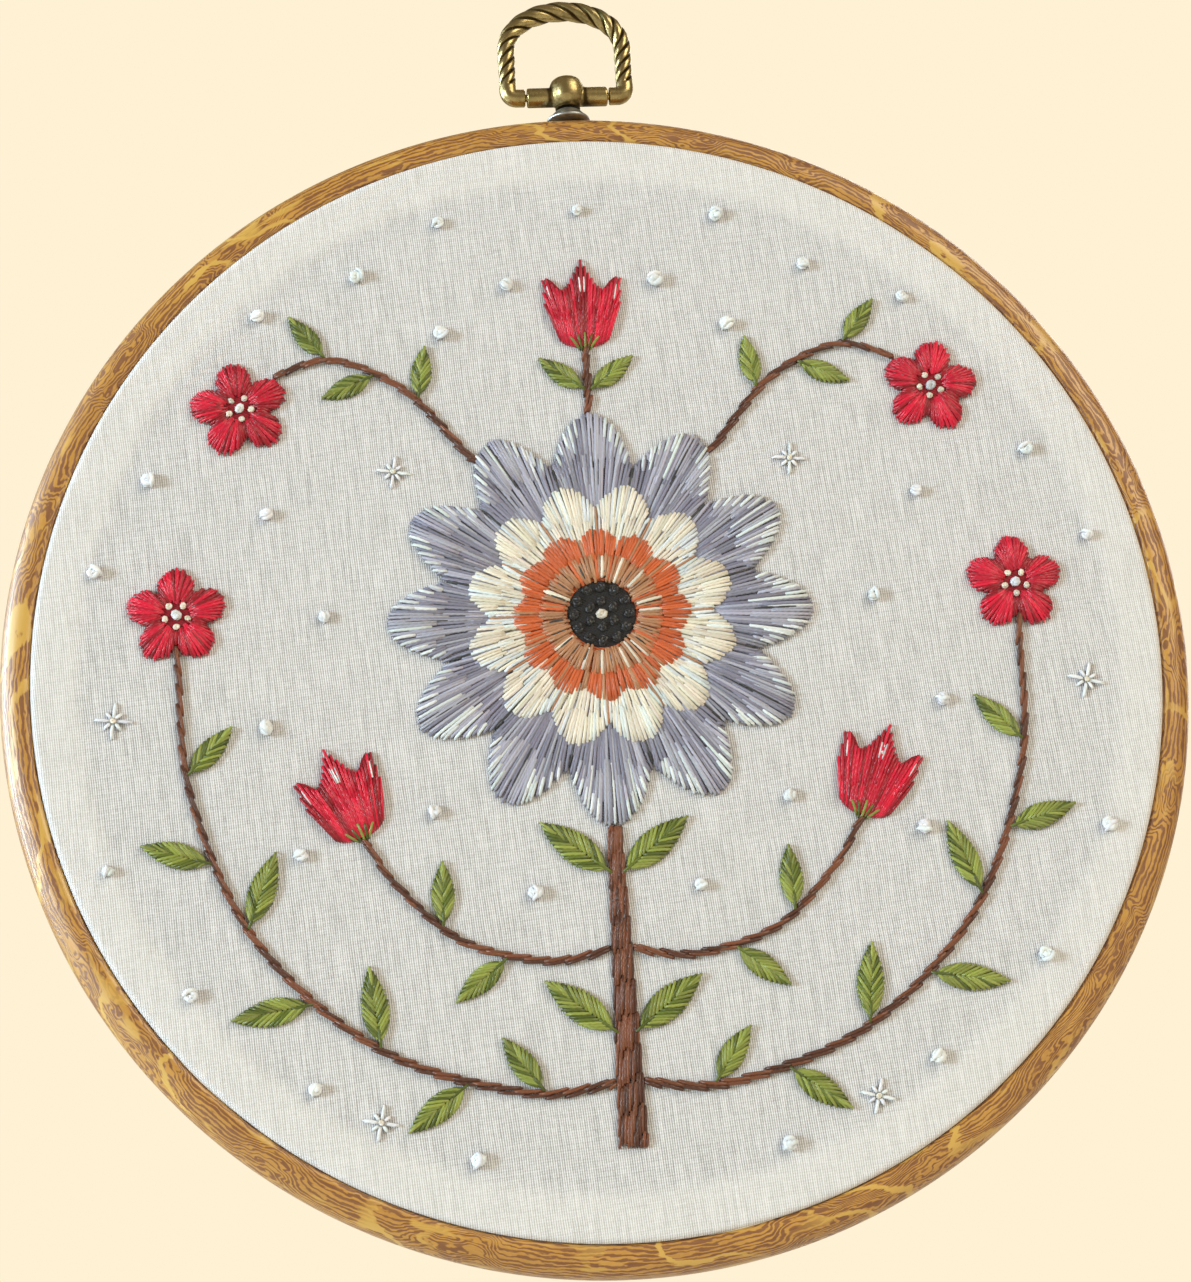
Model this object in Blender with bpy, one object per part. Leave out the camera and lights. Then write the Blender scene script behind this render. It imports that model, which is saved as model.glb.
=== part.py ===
"""Hoop embroidery wall art: a flexible woodgrain hoop with a hanging ring, and the cloth stitched inside it.

X is right, Z is up and the stitched face looks along -Y. The origin is at the inside top of the hanging
ring, where a nail or a hook holds the hoop on a wall.
"""

import math

import bmesh
import bpy
from mathutils import Matrix, Vector

MM = 0.001
GAP = 0.3 * MM
MERGE_DISTANCE = 0.0001 * MM

# Edges bent further than this stay sharp (degrees); the rope's grooves and the stitching have their own
SHARP_EDGE = 40
SHARP_ROPE = 28
SHARP_STITCHING = 50

# The outer hoop: a D section, flat inside and rounded outside, turned round the hoop's axis
HOOP_RADIUS = 89.0 * MM
HOOP_DEPTH = 10.0 * MM
HOOP_INSIDE = 84.15 * MM
FRONT_SET_BACK = 0.5 * MM
FRONT_LAND = 0.9 * MM
BACK_LAND = 1.9 * MM
HOOP_FULLNESS = 2.4
HOOP_INNER_EDGE = 0.5 * MM
CURVE_STEPS = 5
ROUND_STEPS = 80

# The cloth: a disc with its edge turned straight back between the hoops
CLOTH_THICKNESS = 1.0 * MM
CLOTH_RADIUS = HOOP_INSIDE - GAP
CLOTH_EDGE_RADIUS = 1.4 * MM
CLOTH_EDGE_STEPS = 3
CLOTH_BACK = 9.6 * MM

# The inner hoop, rigid and plain, inside the turned edge of the cloth
INNER_OUTSIDE = CLOTH_RADIUS - CLOTH_THICKNESS - GAP
INNER_WIDTH = 5.15 * MM
INNER_FRONT = CLOTH_THICKNESS + GAP
INNER_BACK = 9.7 * MM
INNER_CORNER = 0.8 * MM

# The hanger, measured from the centre of the pin that its ring swings on
PIN_ABOVE_HOOP = 4.75 * MM
PIN_RADIUS = 0.6 * MM
BORE_RADIUS = PIN_RADIUS + GAP
SLEEVE_RADIUS = 1.55 * MM
SLEEVE_REACH = 6.4 * MM
SLEEVE_CHAMFER = 0.2 * MM
STUB_RADIUS = 1.4 * MM
STUB_STRAIGHT = 0.7 * MM
STUB_STEP = 0.02 * MM
RING_HALF_WIDTH = 9.3 * MM
RING_CORNER = 1.3 * MM
RING_CORNER_STEPS = 3
RING_SHOULDER = 8.0 * MM
RING_RISE = 15.0 * MM
RING_ARCH_FULLNESS = 0.92
ROPE_START = RING_CORNER + 0.6 * MM
ROPE_LEG_RADIUS = 1.38 * MM
ROPE_TOP_RADIUS = 1.6 * MM
ROPE_LOBES = 4
ROPE_TURNS = 5
ROPE_GROOVE = 0.84
ROPE_SIDES = 12
ROPE_STEPS = 60
LEG_SAMPLES = 40
ARCH_SAMPLES = 120
COLLAR_RADIUS = 3.45 * MM
COLLAR_HEIGHT = 2.0 * MM
COLLAR_RIM = 0.45 * MM

# The collar's dome above its rim: share of its radius, share of its height
COLLAR_DOME = ((0.86, 0.5), (0.62, 0.85), (0.45, 1.0), (0.0, 1.0))
SMALL_ROUND_STEPS = 24

# The hub's outline, from the middle of its foot to the middle of its crown: radius, height off the pin (mm)
HUB_PROFILE = (
    (0.0, -2.15),
    (2.0, -2.15),
    (1.95, -1.75),
    (2.45, -1.1),
    (2.8, 0.0),
    (2.8, 1.3),
    (2.5, 2.4),
    (1.7, 3.0),
    (0.0, 3.2),
)

# Raised stitching
THIN_RELIEF = 0.5 * MM
SATIN_RELIEF = 0.7 * MM
PADDED_RELIEF = 1.1 * MM
FLOWER_CENTRE = (0.0, 7.0)
FLOWER_PETALS = 12
FLOWER_TIP = 32.0
FLOWER_VALLEY = 24.0
BLOSSOM_PETALS = 5
BLOSSOM_TIP = 7.6
BLOSSOM_VALLEY = 4.3
BLOSSOM_ROUNDNESS = 0.7
FLOWER_ROUNDNESS = 1.1
PETAL_STEPS = {"flower": 6, "blossom": 5}
LEAF_STEPS = 5
LEAF_MIDDLE = 0.48
STEM_STEPS = 14
ROUTE_STEPS = 100

# How a raised shape rounds over, from its wall inwards: share of its outline, share of its relief
ROUNDING = ((1.0, 0.0), (0.97, 0.55), (0.62, 0.92))

# A stem's half-round section: share of its half width, share of its relief
STEM_SECTION = ((-1.0, 0.0), (-0.8, 0.7), (0.0, 1.0), (0.8, 0.7), (1.0, 0.0))

# Half of a tulip's outline, from the base of its cup to its middle tip: across, up
TULIP_HALF = (
    (0.0, 0.0),
    (3.2, 0.9),
    (5.3, 3.8),
    (5.9, 7.8),
    (6.1, 12.2),
    (3.7, 9.6),
    (2.1, 10.6),
    (0.0, 14.6),
)
TULIP_MIDDLE = (0.0, 6.0)

# The routes of the stems and of the right-hand branches, from the hoop's centre: right, up (mm)
MAIN_STEM = ((0.0, -71.0), (0.0, -54.0), (0.0, -38.0), (0.0, -26.0))
TOP_STEM = ((0.0, 40.0), (0.0, 44.0), (0.0, 48.6))
LOWER_BRANCH = ((2.9, -62.0), (15.0, -62.5), (35.0, -55.5), (52.0, -39.5), (61.0, -18.0), (62.5, 1.0))
SIDE_BRANCH = ((2.4, -43.0), (11.0, -44.0), (23.0, -40.5), (32.0, -32.0), (35.6, -26.4))
UPPER_BRANCH = ((19.6, 33.8), (28.0, 43.5), (38.5, 48.6), (46.6, 46.6))

BRANCHES = {"lower_branch": LOWER_BRANCH, "side_branch": SIDE_BRANCH, "upper_branch": UPPER_BRANCH}

# Half widths of the stems at their root and at their end (mm)
STEM_WIDTHS = {
    "main_stem": (2.4, 1.2),
    "top_stem": (0.8, 0.6),
    "lower_branch": (0.8, 0.5),
    "side_branch": (0.7, 0.5),
    "upper_branch": (0.7, 0.5),
}

# Leaves: the branch, the share of its route, the side (1 left or -1 right of its way), length, width (mm)
RIGHT_LEAVES = (
    ("main_stem", 0.30, -1, 12.0, 4.8),
    ("main_stem", 0.80, -1, 12.0, 4.8),
    ("top_stem", 0.30, -1, 8.0, 3.4),
    ("lower_branch", 0.16, 1, 9.0, 3.8),
    ("lower_branch", 0.28, -1, 10.0, 4.0),
    ("lower_branch", 0.40, 1, 11.0, 4.2),
    ("lower_branch", 0.50, -1, 11.0, 4.2),
    ("lower_branch", 0.62, 1, 11.0, 4.2),
    ("lower_branch", 0.71, -1, 10.0, 4.0),
    ("lower_branch", 0.83, 1, 9.0, 3.6),
    ("side_branch", 0.36, -1, 9.0, 3.6),
    ("side_branch", 0.56, 1, 9.0, 3.6),
    ("upper_branch", 0.26, 1, 8.0, 3.4),
    ("upper_branch", 0.46, -1, 8.0, 3.4),
    ("upper_branch", 0.70, 1, 8.0, 3.4),
)
LEAF_LEAN = 52
LEAF_CLEARANCE = 0.55
LEAF_FULLEST = 0.85
LEAF_FULLNESS = 0.9

# Tulips on the right: base of the cup, lean from upright (degrees); the top one stands by itself
RIGHT_TULIPS = (((36.4, -25.0), -22.0),)
TOP_TULIP = ((0.0, 49.3), 0.0)

# Blossoms on the right: centre, turn (degrees)
RIGHT_BLOSSOMS = (((62.6, 9.4), 0.0), ((52.6, 41.2), 10.0))

COLOURS = {
    "woodgrain_vinyl": ((0.50, 0.29, 0.06), 0.45, 0.0),
    "inner_plastic": ((0.42, 0.26, 0.11), 0.5, 0.0),
    "cotton": ((0.82, 0.79, 0.74), 0.9, 0.0),
    "antique_brass": ((0.34, 0.25, 0.10), 0.38, 1.0),
    "collar_steel": ((0.45, 0.44, 0.41), 0.35, 1.0),
    "lavender_thread": ((0.42, 0.40, 0.52), 0.6, 0.0),
    "brown_thread": ((0.10, 0.045, 0.025), 0.6, 0.0),
    "green_thread": ((0.11, 0.20, 0.03), 0.6, 0.0),
    "crimson_thread": ((0.60, 0.01, 0.04), 0.5, 0.0),
}

PIN_Z = -(RING_RISE - ROPE_TOP_RADIUS)
HOOP_Z = PIN_Z - PIN_ABOVE_HOOP - HOOP_RADIUS
FACE_Y = -HOOP_DEPTH / 2
STITCH_Y = FACE_Y - GAP


def clear_scene():
    for found in list(bpy.data.objects):
        bpy.data.objects.remove(found, do_unlink=True)


def material(name):
    """The named plain material, made once."""
    known = bpy.data.materials.get(name)
    if known:
        return known
    colour, roughness, metallic = COLOURS[name]
    made = bpy.data.materials.new(name)
    made.use_nodes = True
    shader = made.node_tree.nodes["Principled BSDF"]
    shader.inputs["Base Color"].default_value = (*colour, 1.0)
    shader.inputs["Roughness"].default_value = roughness
    shader.inputs["Metallic"].default_value = metallic
    return made


def finished(name, shape, material_name, sharp=SHARP_EDGE):
    """A bmesh as a named object, its normals outward and its round faces smooth."""
    bmesh.ops.remove_doubles(shape, verts=shape.verts, dist=MERGE_DISTANCE)
    bmesh.ops.recalc_face_normals(shape, faces=shape.faces)
    mesh = bpy.data.meshes.new(name)
    shape.to_mesh(mesh)
    shape.free()
    mesh.shade_smooth()
    mesh.set_sharp_from_angle(angle=math.radians(sharp))
    mesh.materials.append(material(material_name))
    made = bpy.data.objects.new(name, mesh)
    bpy.context.scene.collection.objects.link(made)
    return made


def turned(profile, centre, axis, across, steps, closed):
    """A bmesh turned round an axis: profile holds (radius, distance along the axis) pairs."""
    shape = bmesh.new()
    verts = [shape.verts.new(centre + across * radius + axis * along) for radius, along in profile]
    pairs = list(zip(verts, verts[1:]))
    if closed:
        pairs.append((verts[-1], verts[0]))
    edges = [shape.edges.new(pair) for pair in pairs]
    bmesh.ops.spin(
        shape, geom=verts + edges, cent=centre, axis=axis, angle=math.tau, steps=steps, use_merge=True
    )
    return shape


def hoop_turned(name, profile, material_name, closed=True):
    """A piece turned round the hoop's own axis: radius, distance back from the cloth's face."""
    centre = Vector((0.0, FACE_Y, HOOP_Z))
    shape = turned(profile, centre, Vector((0, 1, 0)), Vector((0, 0, 1)), ROUND_STEPS, closed)
    return finished(name, shape, material_name)


def quarter(start, end, steps, fullness=2.0):
    """Points of a quarter superellipse from start to end, leaving start along the radius."""
    points = []
    for i in range(steps + 1):
        turn = math.pi / 2 * i / steps
        radius = start[0] + (end[0] - start[0]) * math.sin(turn) ** (2 / fullness)
        along = end[1] + (start[1] - end[1]) * math.cos(turn) ** (2 / fullness)
        points.append((radius, along))
    return points


def outer_hoop():
    middle = (FRONT_SET_BACK + HOOP_DEPTH) / 2
    crown = (HOOP_RADIUS, middle)
    front = quarter((HOOP_INSIDE + FRONT_LAND, FRONT_SET_BACK), crown, CURVE_STEPS, HOOP_FULLNESS)
    back = quarter((HOOP_INSIDE + BACK_LAND, HOOP_DEPTH), crown, CURVE_STEPS, HOOP_FULLNESS)
    inner_front = (HOOP_INSIDE, FRONT_SET_BACK + HOOP_INNER_EDGE)
    profile = [inner_front] + front + back[-2::-1] + [(HOOP_INSIDE, HOOP_DEPTH)]
    return hoop_turned("outer_hoop", profile, "woodgrain_vinyl")


def inner_hoop():
    inside = INNER_OUTSIDE - INNER_WIDTH
    cut = INNER_CORNER
    profile = [
        (inside, INNER_FRONT + cut),
        (inside + cut, INNER_FRONT),
        (INNER_OUTSIDE - cut, INNER_FRONT),
        (INNER_OUTSIDE, INNER_FRONT + cut),
        (INNER_OUTSIDE, INNER_BACK - cut),
        (INNER_OUTSIDE - cut, INNER_BACK),
        (inside + cut, INNER_BACK),
        (inside, INNER_BACK - cut),
    ]
    return hoop_turned("inner_hoop", profile, "inner_plastic")


def ground_cloth():
    turn_start = CLOTH_RADIUS - CLOTH_EDGE_RADIUS
    inner_edge = CLOTH_EDGE_RADIUS - CLOTH_THICKNESS
    inner_wall = CLOTH_RADIUS - CLOTH_THICKNESS
    profile = [(0.0, 0.0)]
    profile += quarter((turn_start, 0.0), (CLOTH_RADIUS, CLOTH_EDGE_RADIUS), CLOTH_EDGE_STEPS)
    profile += [(CLOTH_RADIUS, CLOTH_BACK), (inner_wall, CLOTH_BACK)]
    profile += [(inner_wall, CLOTH_THICKNESS + inner_edge), (turn_start, CLOTH_THICKNESS)]
    profile += [(0.0, CLOTH_THICKNESS)]
    return hoop_turned("ground_cloth", profile, "cotton", closed=False)


def upright_turned(name, profile, material_name):
    """A small piece turned round the hanger's upright axis, its heights measured from the pin."""
    shape = turned(
        profile, Vector((0, 0, PIN_Z)), Vector((0, 0, 1)), Vector((1, 0, 0)), SMALL_ROUND_STEPS, False
    )
    return finished(name, shape, material_name)


def hanger_collar():
    """The collar: a low flared dome on the crown of the outer hoop."""
    base = -PIN_ABOVE_HOOP + GAP
    profile = [(0.0, base), (COLLAR_RADIUS, base), (COLLAR_RADIUS, base + COLLAR_RIM)]
    profile += [(out * COLLAR_RADIUS, base + up * COLLAR_HEIGHT) for out, up in COLLAR_DOME]
    return upright_turned("hanger_collar", profile, "collar_steel")


def side_bar(name, profile):
    """A bar turned round the pin's axis: radius, distance to the right of the hanger's middle."""
    shape = turned(
        profile, Vector((0, 0, PIN_Z)), Vector((1, 0, 0)), Vector((0, 0, 1)), SMALL_ROUND_STEPS, False
    )
    return finished(name, shape, "antique_brass")


def hanger_hub():
    """The hub and its sleeves joined in one casting, with the pin's bore through both."""
    outline = [(radius * MM, height * MM) for radius, height in HUB_PROFILE]
    hub = upright_turned("hanger_hub", outline, "antique_brass")
    end = SLEEVE_REACH
    rim = SLEEVE_RADIUS - SLEEVE_CHAMFER
    half = [(SLEEVE_RADIUS, end - SLEEVE_CHAMFER), (rim, end), (0.0, end)]
    sleeves = side_bar("sleeve_guide", [(radius, -along) for radius, along in reversed(half)] + half)
    past = 2 * end
    bore = side_bar("bore_guide", [(0.0, -past), (BORE_RADIUS, -past), (BORE_RADIUS, past), (0.0, past)])
    for guide, operation in ((sleeves, "UNION"), (bore, "DIFFERENCE")):
        guide.hide_render = True
        guide.display_type = "WIRE"
        joining = hub.modifiers.new(operation.lower(), "BOOLEAN")
        joining.operation = operation
        joining.object = guide
    return hub


def ring_route():
    """The hanging ring's centreline as (point, radius, share of the rope's length or None where plain)."""
    stub = SLEEVE_REACH + GAP
    plain = [(SLEEVE_REACH / 2, 0.0, PIN_RADIUS), (stub - STUB_STEP, 0.0, PIN_RADIUS)]
    plain += [(stub, 0.0, STUB_RADIUS), (stub + STUB_STRAIGHT, 0.0, STUB_RADIUS)]
    for i in range(RING_CORNER_STEPS + 1):
        turn = math.pi / 2 * i / RING_CORNER_STEPS
        out = RING_HALF_WIDTH - RING_CORNER + RING_CORNER * math.sin(turn)
        plain.append((out, RING_CORNER - RING_CORNER * math.cos(turn), STUB_RADIUS))
    left = [(Vector((-out, 0, up)), radius, None) for out, up, radius in plain]
    right = [(Vector((out, 0, up)), radius, None) for out, up, radius in reversed(plain)]
    return left + [(point, rope_radius(share), share) for share, point in rope_line()] + right


def rope_line():
    """Even steps along the two legs and the arch between them, as (share of the length, point)."""
    arch = RING_RISE - RING_SHOULDER
    leg = RING_SHOULDER - ROPE_START
    left = [Vector((-RING_HALF_WIDTH, 0, ROPE_START + leg * i / LEG_SAMPLES)) for i in range(LEG_SAMPLES)]
    fine = list(left)
    for i in range(ARCH_SAMPLES + 1):
        turn = math.pi * i / ARCH_SAMPLES
        up = RING_SHOULDER + arch * abs(math.sin(turn)) ** RING_ARCH_FULLNESS
        fine.append(Vector((-RING_HALF_WIDTH * math.cos(turn), 0, up)))
    fine += [Vector((-point.x, 0, point.z)) for point in reversed(left)]
    lengths = [0.0]
    for a, b in zip(fine, fine[1:]):
        lengths.append(lengths[-1] + (b - a).length)
    found = []
    at = 0
    for i in range(ROPE_STEPS + 1):
        wanted = lengths[-1] * i / ROPE_STEPS
        while at < len(lengths) - 2 and lengths[at + 1] < wanted:
            at += 1
        share = (wanted - lengths[at]) / (lengths[at + 1] - lengths[at])
        found.append((i / ROPE_STEPS, fine[at].lerp(fine[at + 1], min(share, 1.0))))
    return found


def rope_radius(share):
    return ROPE_LEG_RADIUS + (ROPE_TOP_RADIUS - ROPE_LEG_RADIUS) * math.sin(math.pi * share) ** 2


def hanger_ring():
    """The ring: a twisted rope of brass whose plain ends turn in and meet in the thin pin."""
    route = ring_route()
    points = [entry[0] for entry in route]
    pin = Vector((0, 0, PIN_Z))
    shape = bmesh.new()
    rows = []
    for i, (point, radius, share) in enumerate(route):
        ahead = points[(i + 1) % len(points)] - points[i - 1]
        ahead.normalize()
        side = Vector((0, 1, 0)).cross(ahead)
        turn = 0.0 if share is None else share * math.tau * ROPE_TURNS
        row = []
        for k in range(ROPE_SIDES):
            angle = math.tau * k / ROPE_SIDES + turn
            grooved = share is not None and k % (ROPE_SIDES // ROPE_LOBES) == 0
            reach = radius * (ROPE_GROOVE if grooved else 1.0)
            away = side * math.cos(angle) + ahead.cross(side) * math.sin(angle)
            row.append(shape.verts.new(pin + point + away * reach))
        rows.append(row)
    for i, row in enumerate(rows):
        after = rows[(i + 1) % len(rows)]
        for k in range(ROPE_SIDES):
            n = (k + 1) % ROPE_SIDES
            shape.faces.new((row[k], row[n], after[n], after[k]))
    return finished("hanger_ring", shape, "antique_brass", SHARP_ROPE)


def on_cloth(x, z, raised=0.0):
    """A point of the stitching in metres, from a place on the cloth in mm."""
    return Vector((x * MM, STITCH_Y - raised, HOOP_Z + z * MM))


def plaque(name, outline, centre, relief, material_name):
    """A raised shape: the outline's wall, then rounded in towards a centre that sees all of it."""
    shape = bmesh.new()
    rows = []
    for share, height in ROUNDING:
        row = []
        for x, z in outline:
            place = (centre[0] + (x - centre[0]) * share, centre[1] + (z - centre[1]) * share)
            row.append(shape.verts.new(on_cloth(*place, relief * height)))
        rows.append(row)
    count = len(outline)
    for low, high in zip(rows, rows[1:]):
        for k in range(count):
            n = (k + 1) % count
            shape.faces.new((low[k], low[n], high[n], high[k]))
    crown = shape.verts.new(on_cloth(*centre, relief))
    under = shape.verts.new(on_cloth(*centre))
    for k in range(count):
        n = (k + 1) % count
        shape.faces.new((rows[-1][k], rows[-1][n], crown))
        shape.faces.new((rows[0][n], rows[0][k], under))
    return finished(name, shape, material_name, SHARP_STITCHING)


def smooth_route(points, steps):
    """Even parameter steps of a curve through the points, as (place, direction) pairs."""
    padded = [points[0]] + list(points) + [points[-1]]
    spans = len(points) - 1
    found = []
    for i in range(steps + 1):
        k = min(spans * i // steps, spans - 1)
        t = spans * i / steps - k
        before, start, end, after = (Vector(point) for point in padded[k : k + 4])
        slope = end - before
        bend = 2 * before - 5 * start + 4 * end - after
        twist = 3 * start - before - 3 * end + after
        place = start + 0.5 * (slope * t + bend * t**2 + twist * t**3)
        way = slope + 2 * bend * t + 3 * twist * t**2
        found.append((place, way.normalized()))
    return found


def stem(name, points, widths, side=1):
    """A half-round line of stitching along a smooth route, blunt at both ends."""
    shape = bmesh.new()
    rows = []
    route = smooth_route(points, STEM_STEPS)
    for i, (place, way) in enumerate(route):
        half = widths[0] + (widths[1] - widths[0]) * i / STEM_STEPS
        across = Vector((way.y, -way.x))
        row = []
        for share, height in STEM_SECTION:
            spot = place + across * half * share
            row.append(shape.verts.new(on_cloth(side * spot.x, spot.y, THIN_RELIEF * height)))
        rows.append(row)
    for row, after in zip(rows, rows[1:]):
        for k in range(len(row)):
            n = (k + 1) % len(row)
            shape.faces.new((row[k], row[n], after[n], after[k]))
    shape.faces.new(rows[0])
    shape.faces.new(rows[-1])
    return finished(name, shape, "brown_thread", SHARP_STITCHING)


def leaf_outline(base, way, length, width):
    """A pointed leaf from its base along a direction."""
    across = Vector((-way.y, way.x))
    right = []
    left = []
    for i in range(1, LEAF_STEPS):
        share = i / LEAF_STEPS
        half = width / 2 * math.sin(math.pi * share**LEAF_FULLEST) ** LEAF_FULLNESS
        middle = base + way * length * share
        right.append(tuple(middle - across * half))
        left.append(tuple(middle + across * half))
    tip = base + way * length
    return [tuple(base)] + right + [tuple(tip)] + left[::-1]


def leaves():
    """The leaves of each right-hand branch, and the same leaves mirrored to the left."""
    routes = dict(BRANCHES, main_stem=MAIN_STEM, top_stem=TOP_STEM)
    number = 0
    for branch, share, turn_side, length, width in RIGHT_LEAVES:
        place, way = smooth_route(routes[branch], ROUTE_STEPS)[round(share * ROUTE_STEPS)]
        grow = way.copy()
        grow.rotate(Matrix.Rotation(turn_side * math.radians(LEAF_LEAN), 2))
        root, end = STEM_WIDTHS[branch]
        half = root + (end - root) * share
        base = place + grow * (half + LEAF_CLEARANCE)
        outline = leaf_outline(base, grow, length, width)
        middle = base + grow * length * LEAF_MIDDLE
        for side in (1, -1):
            number += 1
            mirrored = [(side * x, z) for x, z in outline]
            plaque(f"leaf_{number:02d}", mirrored, (side * middle.x, middle.y), SATIN_RELIEF, "green_thread")


def round_petals(centre, petals, tip, valley, turn, steps, roundness):
    """A closed outline of petals round a centre; a low roundness makes broad petals."""
    outline = []
    count = petals * steps
    for i in range(count):
        angle = math.tau * i / count
        wave = abs(math.cos(petals * angle / 2)) ** roundness
        radius = valley + (tip - valley) * wave
        away = Vector((math.sin(angle + turn), math.cos(angle + turn)))
        outline.append(tuple(Vector(centre) + away * radius))
    return outline


def main_flower():
    outline = round_petals(
        FLOWER_CENTRE, FLOWER_PETALS, FLOWER_TIP, FLOWER_VALLEY, 0.0, PETAL_STEPS["flower"], FLOWER_ROUNDNESS
    )
    return plaque("main_flower", outline, FLOWER_CENTRE, SATIN_RELIEF, "lavender_thread")


def blossoms():
    number = 0
    for centre, turn in RIGHT_BLOSSOMS:
        for side in (1, -1):
            number += 1
            place = (side * centre[0], centre[1])
            angle = side * math.radians(turn)
            steps = PETAL_STEPS["blossom"]
            outline = round_petals(
                place, BLOSSOM_PETALS, BLOSSOM_TIP, BLOSSOM_VALLEY, angle, steps, BLOSSOM_ROUNDNESS
            )
            plaque(f"blossom_{number:02d}", outline, place, PADDED_RELIEF, "crimson_thread")


def tulip(number, base, lean, side=1):
    """A tulip standing on the base of its cup, leaning from upright, mirrored where side is -1."""
    outline = list(TULIP_HALF) + [(-x, z) for x, z in TULIP_HALF[-2:0:-1]]
    turn = Matrix.Rotation(math.radians(lean), 2)
    placed = []
    for x, z in outline + [TULIP_MIDDLE]:
        spot = Vector((x, z))
        spot.rotate(turn)
        placed.append((side * (base[0] + spot.x), base[1] + spot.y))
    plaque(f"tulip_{number:02d}", placed[:-1], placed[-1], PADDED_RELIEF, "crimson_thread")


def tulips():
    tulip(1, *TOP_TULIP)
    number = 1
    for base, lean in RIGHT_TULIPS:
        for side in (1, -1):
            number += 1
            tulip(number, base, lean, side)


def stems():
    stem("main_stem", MAIN_STEM, STEM_WIDTHS["main_stem"])
    stem("top_stem", TOP_STEM, STEM_WIDTHS["top_stem"])
    for name, route in BRANCHES.items():
        for word, side in (("right", 1), ("left", -1)):
            stem(f"{name}_{word}", route, STEM_WIDTHS[name], side)


def build():
    clear_scene()
    outer_hoop()
    inner_hoop()
    ground_cloth()
    hanger_collar()
    hanger_hub()
    hanger_ring()
    main_flower()
    stems()
    leaves()
    tulips()
    blossoms()


build()
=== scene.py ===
"""Hoop embroidery wall art: the looks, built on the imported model.

X is right, Z is up and the stitched face looks along -Y. Places on the cloth are in mm from the middle
of the hoop, right and up, with heights off the cloth's face. Everything else is in metres.
"""

import math
import random

import bmesh
import bpy
import numpy as np
from mathutils import Matrix, Vector


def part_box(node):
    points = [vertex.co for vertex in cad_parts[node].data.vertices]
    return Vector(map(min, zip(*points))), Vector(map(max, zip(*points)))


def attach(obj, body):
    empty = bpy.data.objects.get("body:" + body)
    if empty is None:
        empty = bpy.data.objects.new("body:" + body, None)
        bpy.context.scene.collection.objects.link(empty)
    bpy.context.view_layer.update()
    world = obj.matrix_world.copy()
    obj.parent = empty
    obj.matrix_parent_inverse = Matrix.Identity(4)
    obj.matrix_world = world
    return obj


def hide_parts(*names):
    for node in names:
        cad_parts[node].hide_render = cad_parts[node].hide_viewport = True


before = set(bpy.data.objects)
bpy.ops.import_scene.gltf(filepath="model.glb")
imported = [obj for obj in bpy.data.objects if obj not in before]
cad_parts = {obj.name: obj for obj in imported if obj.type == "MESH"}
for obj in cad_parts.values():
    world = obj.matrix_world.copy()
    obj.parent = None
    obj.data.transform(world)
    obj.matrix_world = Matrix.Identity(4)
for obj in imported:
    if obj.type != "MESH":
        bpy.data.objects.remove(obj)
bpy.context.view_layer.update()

bl_info = {
    "name": "Hoop embroidery art",
    "version": (1, 0, 0),
    "blender": (4, 5, 0),
    "location": "View3D > Sidebar > Hoop art",
    "description": "Builds a hanging embroidery hoop with its cloth, stitching and hanger",
    "category": "Object",
}

MM = 0.001
MERGE = 0.0001 * MM
BODY = "root"

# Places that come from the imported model
HOOP_LOW, HOOP_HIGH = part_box("outer_hoop")
HOOP_Z = (HOOP_LOW.z + HOOP_HIGH.z) / 2
FACE_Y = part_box("ground_cloth")[0].y
HUB_FOOT = 2.15 * MM
PIN_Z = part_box("hanger_hub")[0].z + HUB_FOOT

# The outer hoop's section, measured back from the cloth's face
HOOP_DEPTH = 10.0 * MM
FRONT_SET_BACK = 0.5 * MM
FRONT_LAND = 0.9 * MM
BACK_LAND = 1.9 * MM
INNER_EDGE = 0.5 * MM
SECTION_STEPS = 44
HOOP_SIDES = 320

# The cloth's turned edge and the inner hoop
CLOTH_BACK = 9.6 * MM
CLOTH_DIP = 0.12 * MM
CLOTH_SIDES = 300
INNER_FRONT = 1.3 * MM
INNER_BACK = 9.7 * MM
INNER_OUTSIDE = 82.55 * MM
INNER_WIDTH = 5.15 * MM
INNER_INSIDE = INNER_OUTSIDE - INNER_WIDTH
INNER_CORNER = 0.8 * MM
INNER_SIDES = 240

# The hanger, from the centre of its pin
SLEEVE_REACH = 6.4 * MM
SLEEVE_GAP = 0.3 * MM
STUB_STRAIGHT = 0.7 * MM
RING_CORNER = 1.3 * MM
RING_SHOULDER = 8.0 * MM
RING_RISE = 15.0 * MM
RING_FULLNESS = 0.92
ROPE_START = RING_CORNER + 0.6 * MM
ROPE_TURNS = 4
ROPE_SLACK = 0.3
ROPE_LOBES = 4
ROPE_SIDES = 56
ROPE_STEPS = 420
PIN_ABOVE_HOOP = 4.75 * MM
HUB_VOXEL = 0.11 * MM
HUB_PROFILE = (
    (0.0, -2.15), (2.0, -2.15), (1.97, -1.95), (1.93, -1.7), (2.12, -1.4), (2.45, -1.0), (2.68, -0.5),
    (2.8, 0.1), (2.84, 0.7), (2.8, 1.4), (2.66, 2.0), (2.42, 2.5), (2.0, 2.88), (1.3, 3.1), (0.6, 3.18),
    (0.0, 3.2),
)
COLLAR_PROFILE = (
    (0.0, 0.0), (3.3, 0.0), (3.42, 0.08), (3.45, 0.22), (3.42, 0.38), (3.32, 0.5), (3.1, 0.66),
    (2.8, 0.95), (2.5, 1.3), (2.2, 1.62), (1.9, 1.86), (1.6, 1.98), (1.2, 2.0), (0.0, 2.0),
)

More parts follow.
